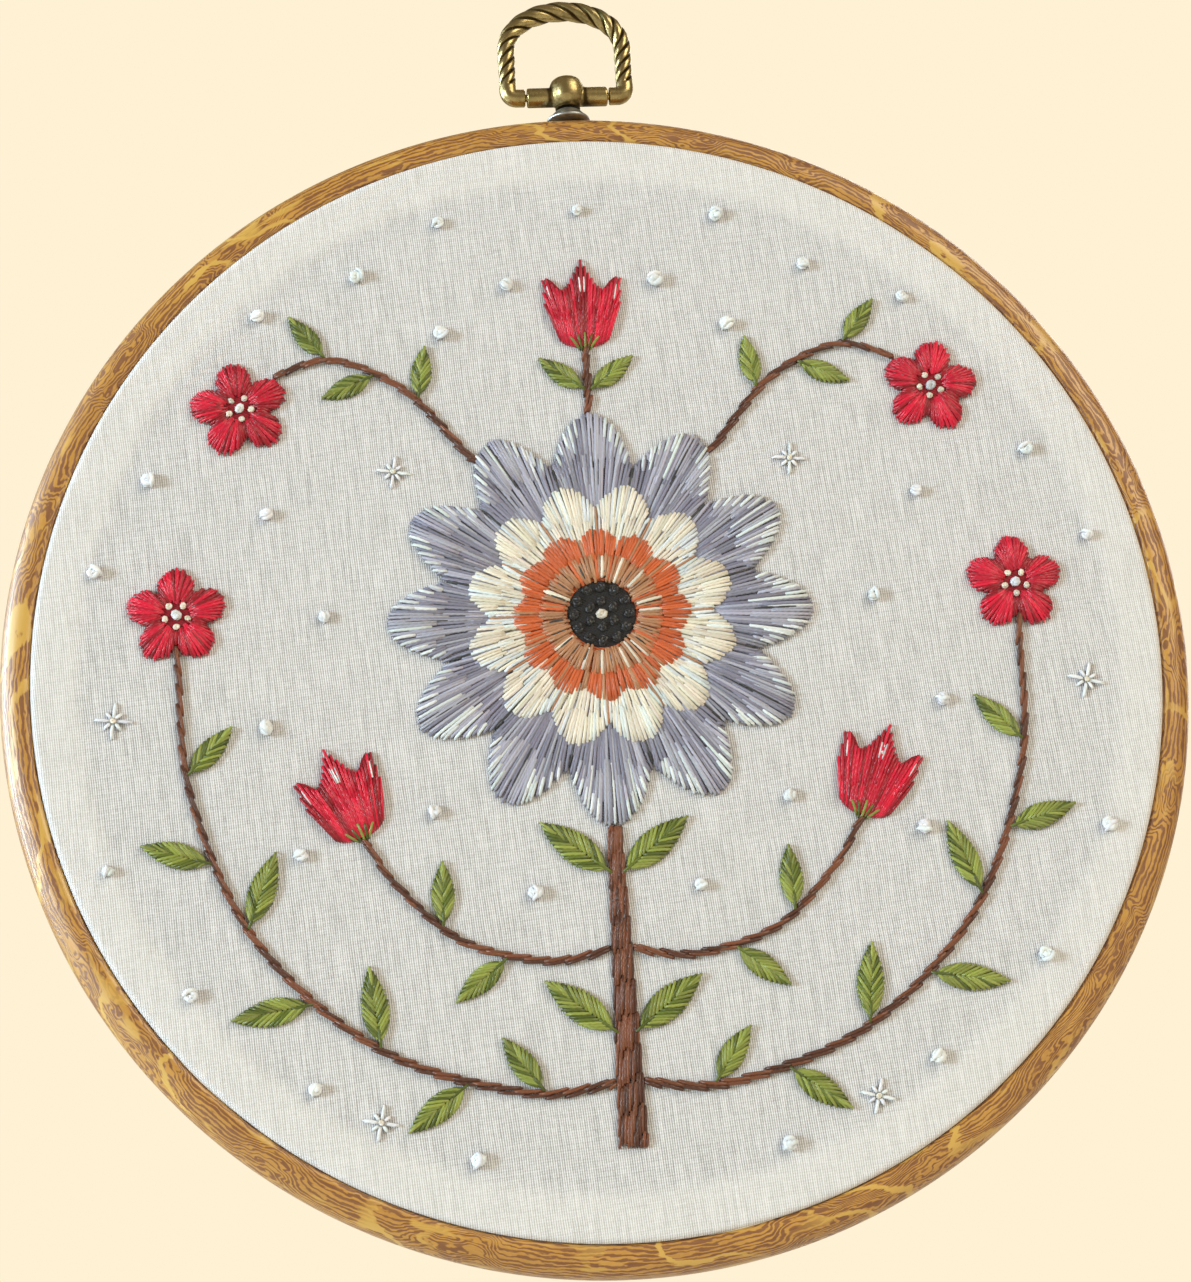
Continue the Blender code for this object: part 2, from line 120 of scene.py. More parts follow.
# The stitched design, as the solids have it
FLOWER_CENTRE = (0.0, 7.0)
TULIP_HALF = (
    (0.0, 0.0), (3.2, 0.9), (5.3, 3.8), (5.9, 7.8), (6.1, 12.2), (3.7, 9.6), (2.1, 10.6), (0.0, 14.6),
)
# The stitches of a tulip fan out from a point below its foot, in mm and radians
TULIP_LOW = -9.0
TULIP_FAN = 0.355
TULIP_RAYS = 27

# Stems and right-hand branches, and their half widths at start and end, in mm
MAIN_STEM = ((0.0, -71.0), (0.0, -54.0), (0.0, -38.0), (0.0, -26.0))
TOP_STEM = ((0.0, 40.0), (0.0, 44.0), (0.0, 48.6))
LOWER_BRANCH = ((2.9, -62.0), (15.0, -62.5), (35.0, -55.5), (52.0, -39.5), (61.0, -18.0), (62.5, 1.0))
SIDE_BRANCH = ((2.4, -43.0), (11.0, -44.0), (23.0, -40.5), (32.0, -32.0), (35.6, -26.4))
UPPER_BRANCH = ((19.6, 33.8), (28.0, 43.5), (38.5, 48.6), (46.6, 46.6))
BRANCHES = {"lower_branch": LOWER_BRANCH, "side_branch": SIDE_BRANCH, "upper_branch": UPPER_BRANCH}
STEM_WIDTHS = {
    "main_stem": (2.4, 1.2),
    "top_stem": (0.8, 0.6),
    "lower_branch": (0.8, 0.5),
    "side_branch": (0.7, 0.5),
    "upper_branch": (0.7, 0.5),
}
# How far the stitches run on past a stem's solid, at its start and at its end, in mm
STEM_REACH = {
    "main_stem": (0.0, 1.2),
    "top_stem": (1.1, 0.9),
    "lower_branch": (0.9, 3.8),
    "side_branch": (0.8, 1.5),
    "upper_branch": (3.0, 0.9),
}
# Leaves: the stem, the share of the way along it, the side, the length and the width in mm
RIGHT_LEAVES = (
    ("main_stem", 0.30, -1, 12.0, 4.8),
    ("main_stem", 0.80, -1, 12.0, 4.8),
    ("top_stem", 0.30, -1, 8.0, 3.4),
    ("lower_branch", 0.16, 1, 9.0, 3.8),
    ("lower_branch", 0.28, -1, 10.0, 4.0),
    ("lower_branch", 0.40, 1, 11.0, 4.2),
    ("lower_branch", 0.50, -1, 11.0, 4.2),
    ("lower_branch", 0.62, 1, 11.0, 4.2),
    ("lower_branch", 0.71, -1, 10.0, 4.0),
    ("lower_branch", 0.83, 1, 9.0, 3.6),
    ("side_branch", 0.36, -1, 9.0, 3.6),
    ("side_branch", 0.56, 1, 9.0, 3.6),
    ("upper_branch", 0.26, 1, 8.0, 3.4),
    ("upper_branch", 0.46, -1, 8.0, 3.4),
    ("upper_branch", 0.70, 1, 8.0, 3.4),
)
# How far a leaf leans from its stem in degrees, its gap from the stem in mm, and its outline
LEAF_LEAN = 52
LEAF_CLEARANCE = 0.55
LEAF_FULLEST = 0.85
LEAF_FULLNESS = 0.9
ROUTE_STEPS = 100

# Tulips and blossoms: their places and how far they turn, in degrees
RIGHT_TULIPS = (((36.4, -25.0), -22.0),)
TOP_TULIP = ((0.0, 49.3), 0.0)
RIGHT_BLOSSOMS = (((62.6, 9.4), 0.0), ((52.6, 41.2), 10.0))

# White knots and small stars on the right-hand half, each with a twin on the left
RIGHT_KNOTS = (
    (11.5, 60.0), (21.5, 70.5), (22.0, 52.5), (34.5, 62.0), (49.5, 56.0), (66.5, 30.5), (49.0, 24.5),
    (41.0, 8.5), (74.5, 16.5), (50.0, -8.0), (73.0, -28.0), (26.0, -21.5), (45.5, -27.0), (61.5, -46.5),
    (44.5, -60.5), (12.0, -34.0), (22.0, -71.5),
)
MIDDLE_KNOTS = ((0.0, 72.0),)
RIGHT_STARS = ((30.0, 30.5, 2.6), (72.0, -6.0, 2.8), (35.4, -65.6, 2.6))

# Strands: their sides, and how far their ends dip below the cloth's face in mm
STRAND_SIDES = 6
STITCH_END = -0.22
STITCH_POINTS = 6
COIL_END = -0.2
COIL_STEPS = 22
COIL_FLATNESS = 0.92
# On the back: one strand in so many shows, this far behind the face, more or less, with its ends nearer
BACK_EVERY = 3
BACK_DEPTH = -0.42
BACK_SPREAD = 0.14
BACK_END = -0.05

# The lights: place, width and height in metres, power, colour and spread in degrees
LIGHTS = {
    "window_left": ((-2.4, -1.42, 0.1), (0.75, 0.9), 7.0, (0.755, 0.91, 1.0), 60.0),
    "glance_left": ((-1.9, 0.35, 0.08), (1.0, 1.7), 20.2, (0.68, 0.86, 1.0), 90.0),
    "fill_right": ((1.6, -1.8, 1.3), (1.6, 1.8), 44.0, (1.0, 0.905, 0.745), 180.0),
    "light_behind": ((1.1, 1.9, 1.0), (1.8, 1.8), 24.0, (1.0, 1.0, 1.0), 180.0),
}
SURROUND = (1.0, 0.81, 0.58, 1.0)
FLOOR_RADIUS = 4.0

# The camera: its place, the way that it looks and how far it leans
CAMERA_PLACE = (-0.02970, -0.37274, -0.19821)
CAMERA_AHEAD = (0.0751, 0.9660, 0.2474)
CAMERA_ROLL = math.radians(-3.47)


def linear(red, green, blue):
    """A colour in linear light, from the usual steps of 0 to 255."""
    shares = [step / 255 for step in (red, green, blue)]
    return tuple(s / 12.92 if s <= 0.04045 else ((s + 0.055) / 1.055) ** 2.4 for s in shares)


def size(label, about, default):
    """A length that a user may change."""
    return bpy.props.FloatProperty(
        name=label, description=about, default=default, min=0.0, unit="LENGTH", precision=5
    )


def share(label, about, default, high=10.0):
    """A plain number that a user may change."""
    return bpy.props.FloatProperty(name=label, description=about, default=default, min=0.0, max=high)


def tint(label, about, *steps):
    """A colour that a user may change."""
    return bpy.props.FloatVectorProperty(
        name=label, description=about, default=linear(*steps), min=0.0, max=1.0, size=3, subtype="COLOR"
    )


class HoopLook(bpy.types.PropertyGroup):
    """The two hoops: sizes and colours."""

    radius: size("Radius", "Outside of the outer hoop", (HOOP_HIGH.x - HOOP_LOW.x) / 2)
    inside: size("Inside radius", "Inside of the outer hoop", 84.15 * MM)
    fullness: share("Fullness", "How square the rounded outside is", 2.4)
    grain_pitch: size("Grain pitch", "Distance between two printed grain lines", 0.72 * MM)
    band_count: bpy.props.IntProperty(
        name="Bands", description="Plain bands across the print, all round", default=36
    )
    gold: tint("Gold", "Plain bands of the printed wood", 209, 167, 78)
    ochre: tint("Ochre", "Ground between the grain lines", 197, 143, 57)
    brown: tint("Grain brown", "Printed grain lines", 122, 70, 25)
    plastic: tint("Inner plastic", "Plain plastic of the inner hoop", 186, 142, 92)


class ClothLook(bpy.types.PropertyGroup):
    """The ground cloth: sizes, weave and colours."""

    radius: size("Radius", "Outside of the turned edge", 84.08 * MM)
    edge_radius: size("Edge radius", "How round the cloth turns over the inner hoop", 1.0 * MM)
    thickness: size("Thickness", "Thickness of the cotton", 0.3 * MM)
    cut_radius: size("Cut radius", "Radius of the flat disc that the cloth was cut to", 92.6 * MM)
    warp_pitch: size("Warp pitch", "Distance between two upright threads", 0.331 * MM)
    weft_pitch: size("Weft pitch", "Distance between two level threads", 0.39 * MM)
    weave_turn: bpy.props.FloatProperty(
        name="Weave turn",
        description="How far the weave leans from upright",
        default=math.radians(-5.15),
        subtype="ANGLE",
    )
    thread: tint("Thread", "Crowns of the cotton threads", 240, 242, 247)
    gap: tint("Gap", "Shade between the threads", 148, 150, 154)


class HangerLook(bpy.types.PropertyGroup):
    """The hanging ring, its hub and its collar."""

    half_width: size("Ring half width", "From the ring's middle to the middle of its leg", 9.3 * MM)
    leg_radius: size("Leg radius", "Radius of the rope at its legs", 1.38 * MM)
    top_radius: size("Top radius", "Radius of the rope at its top", 1.6 * MM)
    stub_radius: size("Stub radius", "Radius of the ring's plain ends", 1.4 * MM)
    pin_radius: size("Pin radius", "Radius of the pin in the sleeves", 0.6 * MM)
    sleeve_radius: size("Sleeve radius", "Radius of the hub's sleeves", 1.55 * MM)
    bore_radius: size("Bore radius", "Radius of the bore that the pin turns in", 0.9 * MM)
    groove_depth: share("Groove depth", "Depth of the rope's grooves as a share of its radius", 0.18)
    brass: tint("Brass", "Rubbed high places", 186, 168, 118)
    patina: tint("Patina", "Dark olive finish in the hollows", 70, 56, 30)
    steel: tint("Steel", "Plated collar", 182, 186, 188)


class StitchLook(bpy.types.PropertyGroup):
    """The threads: widths and colours."""

    width: share("Strand width", "Width of a strand in mm", 0.54)
    pitch: share("Strand pitch", "Distance between neighbouring strands in mm", 0.44)
    flatness: share("Flatness", "Thickness of a strand as a share of its width", 0.95, 1.0)
    lavender: tint("Lavender", "Lavender grey thread", 178, 180, 198)
    slate: tint("Slate", "Darker lavender grey thread", 138, 139, 160)
    ice: tint("Ice", "Ice white thread", 226, 236, 240)
    cream: tint("Cream", "Cream thread", 236, 231, 216)
    rust: tint("Rust", "Rust orange thread", 208, 100, 50)
    tan: tint("Tan", "Tan thread", 184, 134, 98)
    charcoal: tint("Charcoal", "Charcoal thread", 58, 60, 62)
    black: tint("Black", "Black thread", 26, 26, 29)
    brown: tint("Brown", "Brown thread", 122, 70, 44)
    dark_brown: tint("Dark brown", "Darker brown thread", 84, 46, 30)
    green: tint("Green", "Leaf green thread", 138, 150, 66)
    dark_green: tint("Dark green", "Darker leaf green thread", 88, 102, 28)
    crimson: tint("Crimson", "Crimson thread", 214, 6, 54)
    deep_crimson: tint("Deep crimson", "Darker crimson thread", 158, 0, 30)
    white: tint("White", "White thread", 236, 243, 250)


class StageLook(bpy.types.PropertyGroup):
    """The floor, the light and the camera."""

    floor_z: bpy.props.FloatProperty(
        name="Floor height", description="Height of the pale floor", default=-0.32, unit="LENGTH"
    )
    backdrop: tint("Backdrop", "Plain pale colour behind the hoop", 255, 241, 212)
    floor: tint("Floor", "Plain pale floor", 226, 218, 202)
    fill: share("Fill", "Strength of the light from all round", 0.28)
    lens: share("Lens", "Focal length in mm on a 36 mm frame", 72.05, 500.0)


GROUPS = {
    "hoop": HoopLook,
    "cloth": ClothLook,
    "hanger": HangerLook,
    "stitch": StitchLook,
    "stage": StageLook,
}


class HoopArt(bpy.types.PropertyGroup):
    """Everything that a user may change."""

    hoop: bpy.props.PointerProperty(type=HoopLook)
    cloth: bpy.props.PointerProperty(type=ClothLook)
    hanger: bpy.props.PointerProperty(type=HangerLook)
    stitch: bpy.props.PointerProperty(type=StitchLook)
    stage: bpy.props.PointerProperty(type=StageLook)


def look(group):
    """The scene's settings of one group."""
    return getattr(bpy.context.scene.hoop_art, group)


class Value:
    """A socket in an expression: sums and products on it add Math nodes."""

    def __init__(self, tree, socket):
        self.tree = tree
        self.socket = socket

    def sibling(self, name):
        """Another output of the same node."""
        return Value(self.tree, self.socket.node.outputs[name])

    def math(self, operation, *others):
        """A Math node on this value and the others."""
        inputs = dict(enumerate((self, *others)))
        return self.tree.node("ShaderNodeMath", {"operation": operation}, inputs)

    def __add__(self, other):
        return self.math("ADD", other)

    def __sub__(self, other):
        return self.math("SUBTRACT", other)

    def __mul__(self, other):
        return self.math("MULTIPLY", other)

    def __truediv__(self, other):
        return self.math("DIVIDE", other)

    def __rsub__(self, other):
        return self.tree.node("ShaderNodeMath", {"operation": "SUBTRACT"}, {0: other, 1: self})

    __radd__ = __add__
    __rmul__ = __mul__

    def step(self, low, high):
        """0 below low, 1 above high, smooth between."""
        inputs = {"Value": self, "From Min": low, "From Max": high}
        return self.tree.node("ShaderNodeMapRange", {"interpolation_type": "SMOOTHSTEP"}, inputs)


class Tree:
    """A node tree that is built by calls: node() adds any node, and the rest go through it."""

    def __init__(self, nodes):
        self.tree = nodes
        self.tree.nodes.clear()

    def node(self, kind, settings=None, inputs=None, output=0):
        """A node with its settings made first, then the values or links of its sockets."""
        made = self.tree.nodes.new(kind)
        for key, value in (settings or {}).items():
            setattr(made, key, value)
        for key, value in (inputs or {}).items():
            if isinstance(value, Value):
                self.tree.links.new(value.socket, made.inputs[key])
            else:
                made.inputs[key].default_value = value
        return Value(self, made.outputs[output]) if made.outputs else None

    def place(self):
        """The point on the piece, in the object's own coordinates."""
        return self.node("ShaderNodeTexCoord", output="Object")

    def uv(self):
        return self.node("ShaderNodeUVMap", {"uv_map": "UVMap"})

    def attribute(self, name, output):
        """What the mesh carries under a name at each point."""
        return self.node("ShaderNodeAttribute", {"attribute_name": name}, output=output)

    def parts(self, vector):
        first = self.node("ShaderNodeSeparateXYZ", inputs={0: vector})
        return first, first.sibling("Y"), first.sibling("Z")

    def vector(self, x, y, z):
        return self.node("ShaderNodeCombineXYZ", inputs={0: x, 1: y, 2: z})

    def noise(self, vector, scale=1.0, detail=2.0, roughness=0.5):
        inputs = {"Vector": vector, "Scale": scale, "Detail": detail, "Roughness": roughness}
        return self.node("ShaderNodeTexNoise", {"noise_dimensions": "3D"}, inputs)

    def mix(self, factor, first, second, blend="MIX"):
        """Two colours mixed by a factor."""
        inputs = {0: factor, 6: self.colour(first), 7: self.colour(second)}
        settings = {"data_type": "RGBA", "blend_type": blend, "clamp_factor": True}
        return self.node("ShaderNodeMix", settings, inputs, 2)

    def colour(self, value):
        return value if isinstance(value, Value) else (*value, 1.0)

    def bump(self, height, distance, strength=1.0, normal=None):
        inputs = {"Height": height, "Distance": distance, "Strength": strength}
        if normal is not None:
            inputs["Normal"] = normal
        return self.node("ShaderNodeBump", inputs=inputs)


class Finish(Tree):
    """A material's node tree."""

    def __init__(self, name):
        self.material = bpy.data.materials.new(name)
        self.material.use_nodes = True
        super().__init__(self.material.node_tree)

    def surface(self, **sockets):
        """The shader and the output: keywords name the shader's sockets, with _ for a space."""
        inputs = {key.replace("_", " "): value for key, value in sockets.items()}
        shader = self.node("ShaderNodeBsdfPrincipled", inputs=inputs)
        self.node("ShaderNodeOutputMaterial", inputs={"Surface": shader})
        return self.material


def woodgrain_finish():
    """Printed vinyl: wavy brown grain lines on ochre, broken by gold cross bands and knots."""
    hoop = look("hoop")
    tree = Finish("woodgrain_vinyl")
    x, _, z = tree.parts(tree.place())
    turn, down, _ = tree.parts(tree.uv())
    # Round the hoop's section, across is in mm
    across = down * 28.0
    # Round the hoop the pattern is stretched, so a unit there is about 8 mm
    right = x * 125.0
    up = (z - HOOP_Z) * 125.0

    def cloud(pitch, depth, shift=0.0, detail=2.0, roughness=0.5):
        """Noise over the print: fine with a high pitch, and changing across the hoop with depth."""
        down = across * depth + shift if shift else across * depth
        return tree.noise(tree.vector(right * pitch, up * pitch, down), 1.0, detail, roughness)

    flow = cloud(0.5, 0.12, detail=1.0)
    swirl = cloud(1.3, 0.4, 7.0)
    knots = cloud(0.5, 0.07, 31.0, 0.0).step(0.5, 0.64)
    wobble = cloud(5.0, 1.3)
    field = across / (hoop.grain_pitch / MM) + flow * 3.4 + swirl * (knots * 7.0 + 2.2) + wobble * 1.1
    line = field.math("PINGPONG", 0.5) * 2.0
    breaks = cloud(2.6, 1.0, 3.0)
    width = breaks.step(0.3, 0.64) * 0.46 + 0.22
    ink = 1.0 - (line - width).step(-0.2, 0.2)
    bands = turn * hoop.band_count + flow * 2.6 + across * 0.07 + (wobble - 0.5) * 0.16 + (breaks - 0.5) * 0.3
    near = bands.math("PINGPONG", 0.5) * 2.0
    faint = tree.noise(tree.vector(right * 0.4, up * 0.4, 17.0), 1.0, 0.0).step(0.38, 0.56)
    band = (1.0 - near.step(0.1, 0.19)) * faint
    plain = cloud(0.7, 0.42, 47.0).step(0.62, 0.69)
    bare = band.math("MAXIMUM", plain * 0.85)
    ink = ink * (1.0 - bare)
    patch = cloud(0.9, 0.3, 11.0).step(0.3, 0.62)
    fine = cloud(9.0, 4.0, 5.0, roughness=0.6)
    ground = tree.mix(patch * 0.7, hoop.ochre, tree.mix(0.3, hoop.ochre, hoop.brown))
    ground = tree.mix(bare, ground, hoop.gold)
    ground = tree.mix((fine - 0.35).step(0.0, 0.5) * 0.35, ground, hoop.gold)
    depth = cloud(4.0, 2.0)
    printed = tree.mix(ink * (depth * 0.5 + 0.68), ground, hoop.brown)
    return tree.surface(
        Base_Color=printed,
        Roughness=ink * 0.22 + depth * 0.08 + 0.28,
        Normal=tree.bump(depth * 0.3 - ink, 0.03 * MM, 0.5),
        Coat_Weight=1.0,
        Coat_Roughness=0.5,
        Specular_IOR_Level=0.5,
    )


def plastic_finish():
    """The inner hoop's moulded plastic: fine flow marks and specks."""
    hoop = look("hoop")
    tree = Finish("inner_plastic")
    x, y, z = tree.parts(tree.place())
    flow = tree.noise(tree.vector(x * 60.0, y * 900.0, z * 60.0), 1.0, 3.0)
    specks = tree.noise(tree.place(), 1600.0, 2.0)
    colour = tree.mix(flow * 0.5, hoop.plastic, tuple(c * 0.72 for c in hoop.plastic))
    return tree.surface(
        Base_Color=colour,
        Roughness=flow * 0.15 + specks * 0.1 + 0.34,
        Normal=tree.bump(specks + flow * 0.6, 0.02 * MM, 0.4),
    )


def weave_finish():
    """Plain woven cotton: upright warp over level weft, with slubs and a band over the inner hoop painted
    paler as painted light.
    """
    cloth = look("cloth")
    tree = Finish("cotton_weave")
    inputs = {"Vector": tree.place(), "Angle": -cloth.weave_turn}
    turned = tree.node("ShaderNodeVectorRotate", {"rotation_type": "Y_AXIS"}, inputs)
    x, _, z = tree.parts(turned)
    drift = tree.noise(tree.vector(x * 90.0, 0.0, z * 90.0), 1.0, 2.0)
    warp = x / cloth.warp_pitch + drift * 1.2
    weft = z / cloth.weft_pitch + drift * 0.9
    warp_in, weft_in = warp.math("FRACT"), weft.math("FRACT")
    parity = (warp.math("FLOOR") + weft.math("FLOOR")).math("FLOORED_MODULO", 2.0)
    warp_round = (warp_in * math.pi).math("SINE")
    weft_round = (weft_in * math.pi).math("SINE")
    over = warp_round * (parity * weft_round * 0.5 + 0.5)
    under = weft_round * ((1.0 - parity) * warp_round * 0.5 + 0.32)
    crown = over.math("MAXIMUM", under)

    def streaks(upright, level, shift, detail=2.0, roughness=0.65):
        """Noise that follows the threads: long along warp or weft where its pitch is low."""
        return tree.noise(tree.vector(warp * upright, weft * level, shift), 1.0, detail, roughness)

    warp_tone = streaks(0.9, 0.055, 0.0)
    weft_tone = streaks(0.09, 0.83, 5.0)
    slub = streaks(0.41, 0.02, 9.0, 1.0, 0.5).step(0.6, 0.76)
    grain = streaks(0.7, 0.7, 13.0, 2.0, 0.6)
    cloud = tree.noise(tree.place(), 34.0, 2.0)
    lit = crown * 0.5 + warp_round * 0.5 + (warp_tone - 0.5) * 0.95 + (weft_tone - 0.5) * 0.4
    lit = lit + (grain - 0.5) * 0.45 + slub * 0.1
    colour = tree.mix(lit.step(-0.05, 1.05), cloth.gap, cloth.thread)
    colour = tree.mix(cloud * 0.12, colour, (0.72, 0.72, 0.71))
    # Painted light: the cloth over the inner hoop is painted a little paler
    px, _, pz = tree.parts(tree.place())
    out = (px * px + (pz - HOOP_Z) * (pz - HOOP_Z)).math("SQRT")
    band = out.step(INNER_INSIDE - 1.6 * MM, INNER_INSIDE + 1.2 * MM)
    colour = tree.mix(band * 0.3, colour, (0.93, 0.93, 0.92))
    height = crown + warp_tone * 0.8 + slub * 0.5
    wave = tree.noise(tree.place(), 150.0, 2.0)
    slow = tree.bump(wave, 0.5 * MM, 0.12)
    return tree.surface(
        Base_Color=colour,
        Roughness=0.92,
        Normal=tree.bump(height, 0.09 * MM, 0.75, slow),
        Sheen_Weight=0.12,
        Sheen_Roughness=0.5,
        Specular_IOR_Level=0.2,
    )


def brass_finish():
    """Antique brass: rubbed high places over an olive patina that stays in the hollows."""
    hanger = look("hanger")
    tree = Finish("antique_brass")
    recess = tree.attribute("recess", "Fac")
    cloud = tree.noise(tree.place(), 420.0, 3.0)
    fine = tree.noise(tree.place(), 2600.0, 3.0)
    aged = (recess * 1.2 + (cloud - 0.4) * 1.25 + (fine - 0.5) * 0.5 + 0.12).step(0.0, 0.95)
    colour = tree.mix(aged, hanger.brass, hanger.patina)
    green = tree.noise(tree.place(), 240.0, 2.0).step(0.55, 0.75)
    colour = tree.mix(green * 0.35, colour, linear(112, 114, 78))
    return tree.surface(
        Base_Color=colour,
        Metallic=1.0,
        Roughness=aged * 0.26 + fine * 0.12 + 0.2,
        Normal=tree.bump(fine + cloud * 0.8, 0.03 * MM, 0.35),
    )


def steel_finish():
    """Plated steel, turned, with fine rings and a few dark specks."""
    tree = Finish("collar_steel")
    x, y, z = tree.parts(tree.place())
    out = (x * x + y * y).math("SQRT")
    rings = tree.noise(tree.vector(out * 5200.0, z * 4200.0, 0.0), 1.0, 2.0)
    cloud = tree.noise(tree.place(), 500.0, 2.0)
    colour = tree.mix(cloud.step(0.45, 0.8) * 0.5, look("hanger").steel, linear(104, 98, 84))
    return tree.surface(
        Base_Color=colour,
        Metallic=1.0,
        Roughness=rings * 0.1 + cloud * 0.1 + 0.32,
        Normal=tree.bump(rings, 0.01 * MM, 0.5),
    )


def thread_finish(name):
    """Twisted cotton thread: its tone comes with the stitch, its plies wind along it, and its sides,
    underside and ply grooves are painted in shade.
    """
    tree = Finish(name)
    tone = tree.attribute("tone", "Color")
    along, around, _ = tree.parts(tree.uv())
    wound = (around * 2.0 + along / 0.95) * math.tau
    plies = wound.math("SINE") * 0.5 + 0.5
    fibres = tree.noise(tree.vector(along * 1.3, around * 9.0, along * 0.2), 1.0, 2.0, 0.6)
    # 1 on a strand's top and 0 on its underside: it places the painted shade on the sides and underside
    under = ((around - 0.25) * math.tau).math("COSINE") * 0.5 + 0.5
    # Painted shade: the thread's tone darkened to about a third
    shaded_tone = tree.mix(1.0, tone, (0.34, 0.31, 0.35), "MULTIPLY")
    # Painted light and shade: tops and ply crowns keep the tone, while sides, underside and ply grooves take
    # the painted shade, broken by fibre streaks
    lit = under.step(0.3, 1.0) * 0.75 + plies * 0.32 + fibres * 0.45
    colour = tree.mix(lit.step(0.15, 1.1), shaded_tone, tone)
    return tree.surface(
        Base_Color=colour,
        Roughness=fibres * 0.2 + 0.3,
        Normal=tree.bump(plies + fibres * 0.7, 0.06 * MM, 0.6),
        Sheen_Weight=0.25,
        Sheen_Roughness=0.4,
        Specular_IOR_Level=0.6,
    )


def underlay_shade_finish():
    """The padding stitches below the satin ones, seen only between them: their tone is painted at half in
    stripes, as painted shade between the padding rows.
    """
    tree = Finish("underlay_and_gap_shade")
    tone = tree.attribute("tone", "Color")
    x, _, z = tree.parts(tree.place())
    # Painted shade: stripes along the padding rows, where the tone is darkened to half
    rows = ((x * 0.5 + z) * math.tau / (0.4 * MM)).math("SINE") * 0.5 + 0.5
    colour = tree.mix(rows, tree.mix(1.0, tone, (0.5, 0.5, 0.5), "MULTIPLY"), tone)
    return tree.surface(Base_Color=colour, Roughness=0.7, Normal=tree.bump(rows, 0.08 * MM, 0.8))


def floor_finish():
    """A plain pale floor."""
    stage = look("stage")
    tree = Finish("pale_floor")
    grain = tree.noise(tree.place(), 6.0, 3.0)
    colour = tree.mix(grain * 0.1, stage.floor, tuple(c * 0.9 for c in stage.floor))
    return tree.surface(Base_Color=colour, Roughness=0.85, Specular_IOR_Level=0.1)


def finish(name):
    """The named material, made once."""
    known = bpy.data.materials.get(name)
    makers = {
        "woodgrain_vinyl": woodgrain_finish,
        "inner_plastic": plastic_finish,
        "cotton_weave": weave_finish,
        "antique_brass": brass_finish,
        "collar_steel": steel_finish,
        "underlay_and_gap_shade": underlay_shade_finish,
        "pale_floor": floor_finish,
    }
    if known and known.use_nodes and known.get("dressed"):
        return known
    if known:
        known.name = f"{name}_cad"
    made = makers[name]() if name in makers else thread_finish(name)
    made["dressed"] = True
    return made


def put(name, data):
    """A new object in the scene."""
    made = bpy.data.objects.new(name, data)
    bpy.context.scene.collection.objects.link(made)
    return made


def shown(name, mesh, finish_name, replaced=()):
    """A finished mesh as a piece of the object: it rides on the body and stands for its CAD nodes."""
    mesh.name = name
    mesh.materials.clear()
    mesh.materials.append(finish(finish_name))
    made = put(name, mesh)
    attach(made, BODY)
    if replaced:
        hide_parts(*replaced)
    return made


def plain_mesh(shape):
    """A bmesh as a mesh."""
    mesh = bpy.data.meshes.new("piece")
    shape.to_mesh(mesh)
    shape.free()
    return mesh


def mesh_of(shape, sharp=None):
    """A bmesh as a mesh, merged, its faces outward and smooth."""
    bmesh.ops.remove_doubles(shape, verts=shape.verts, dist=MERGE)
    bmesh.ops.recalc_face_normals(shape, faces=shape.faces)
    mesh = plain_mesh(shape)
    mesh.shade_smooth()
    if sharp is not None:
        mesh.set_sharp_from_angle(angle=math.radians(sharp))
    return mesh


def wrapped(columns, rows, spot):
    """A grid with its own UV map, laid on a surface: spot takes a column's share and a row's number."""
    shape = bmesh.new()
    shape.loops.layers.uv.new("UVMap")
    bmesh.ops.create_grid(shape, x_segments=columns, y_segments=rows, size=0.5, calc_uvs=True)
    for vert in shape.verts:
        vert.co = spot(vert.co.x + 0.5, round((vert.co.y + 0.5) * rows))
    return shape


def quarter(start, end, steps, fullness=2.0):
    """Points of a quarter superellipse from start to end, leaving start along the radius."""
    points = []
    for i in range(steps + 1):
        turn = math.pi / 2 * i / steps
        radius = start[0] + (end[0] - start[0]) * math.sin(turn) ** (2 / fullness)
        along = end[1] + (start[1] - end[1]) * math.cos(turn) ** (2 / fullness)
        points.append((radius, along))
    return points


def evened(points, steps):
    """The same line in even steps of its length."""
    line = np.array(points)
    lengths = np.concatenate(([0.0], np.cumsum(np.linalg.norm(np.diff(line, axis=0), axis=1))))
    wanted = np.linspace(0.0, lengths[-1], steps + 1)
    return np.stack([np.interp(wanted, lengths, line[:, k]) for k in range(line.shape[1])], axis=1)


def hoop_spot(profile):
    """Places of a profile turned round the hoop's axis."""

    def spot(column, row):
        angle = column * math.tau
        radius, along = profile[row]
        return Vector((math.sin(angle) * radius, FACE_Y + along, HOOP_Z + math.cos(angle) * radius))

    return spot


def build_outer_hoop():
    """The flexible outer hoop: a D section with a lip at its inner edge, printed as wood."""
    hoop = look("hoop")
    crown = (hoop.radius, (FRONT_SET_BACK + HOOP_DEPTH) / 2)
    lip = quarter((hoop.inside + FRONT_LAND, FRONT_SET_BACK), (hoop.inside, FRONT_SET_BACK + INNER_EDGE), 6)
    front = quarter((hoop.inside + FRONT_LAND, FRONT_SET_BACK), crown, 24, hoop.fullness)
    back = quarter((hoop.inside + BACK_LAND, HOOP_DEPTH), crown, 24, hoop.fullness)
    profile = lip[::-1] + front[1:] + back[-2::-1] + [(hoop.inside, HOOP_DEPTH)]
    profile.append(profile[0])
    shape = wrapped(HOOP_SIDES, SECTION_STEPS, hoop_spot(evened(profile, SECTION_STEPS)))
    shown("outer_hoop_vinyl", mesh_of(shape, 50), "woodgrain_vinyl", ["outer_hoop"])


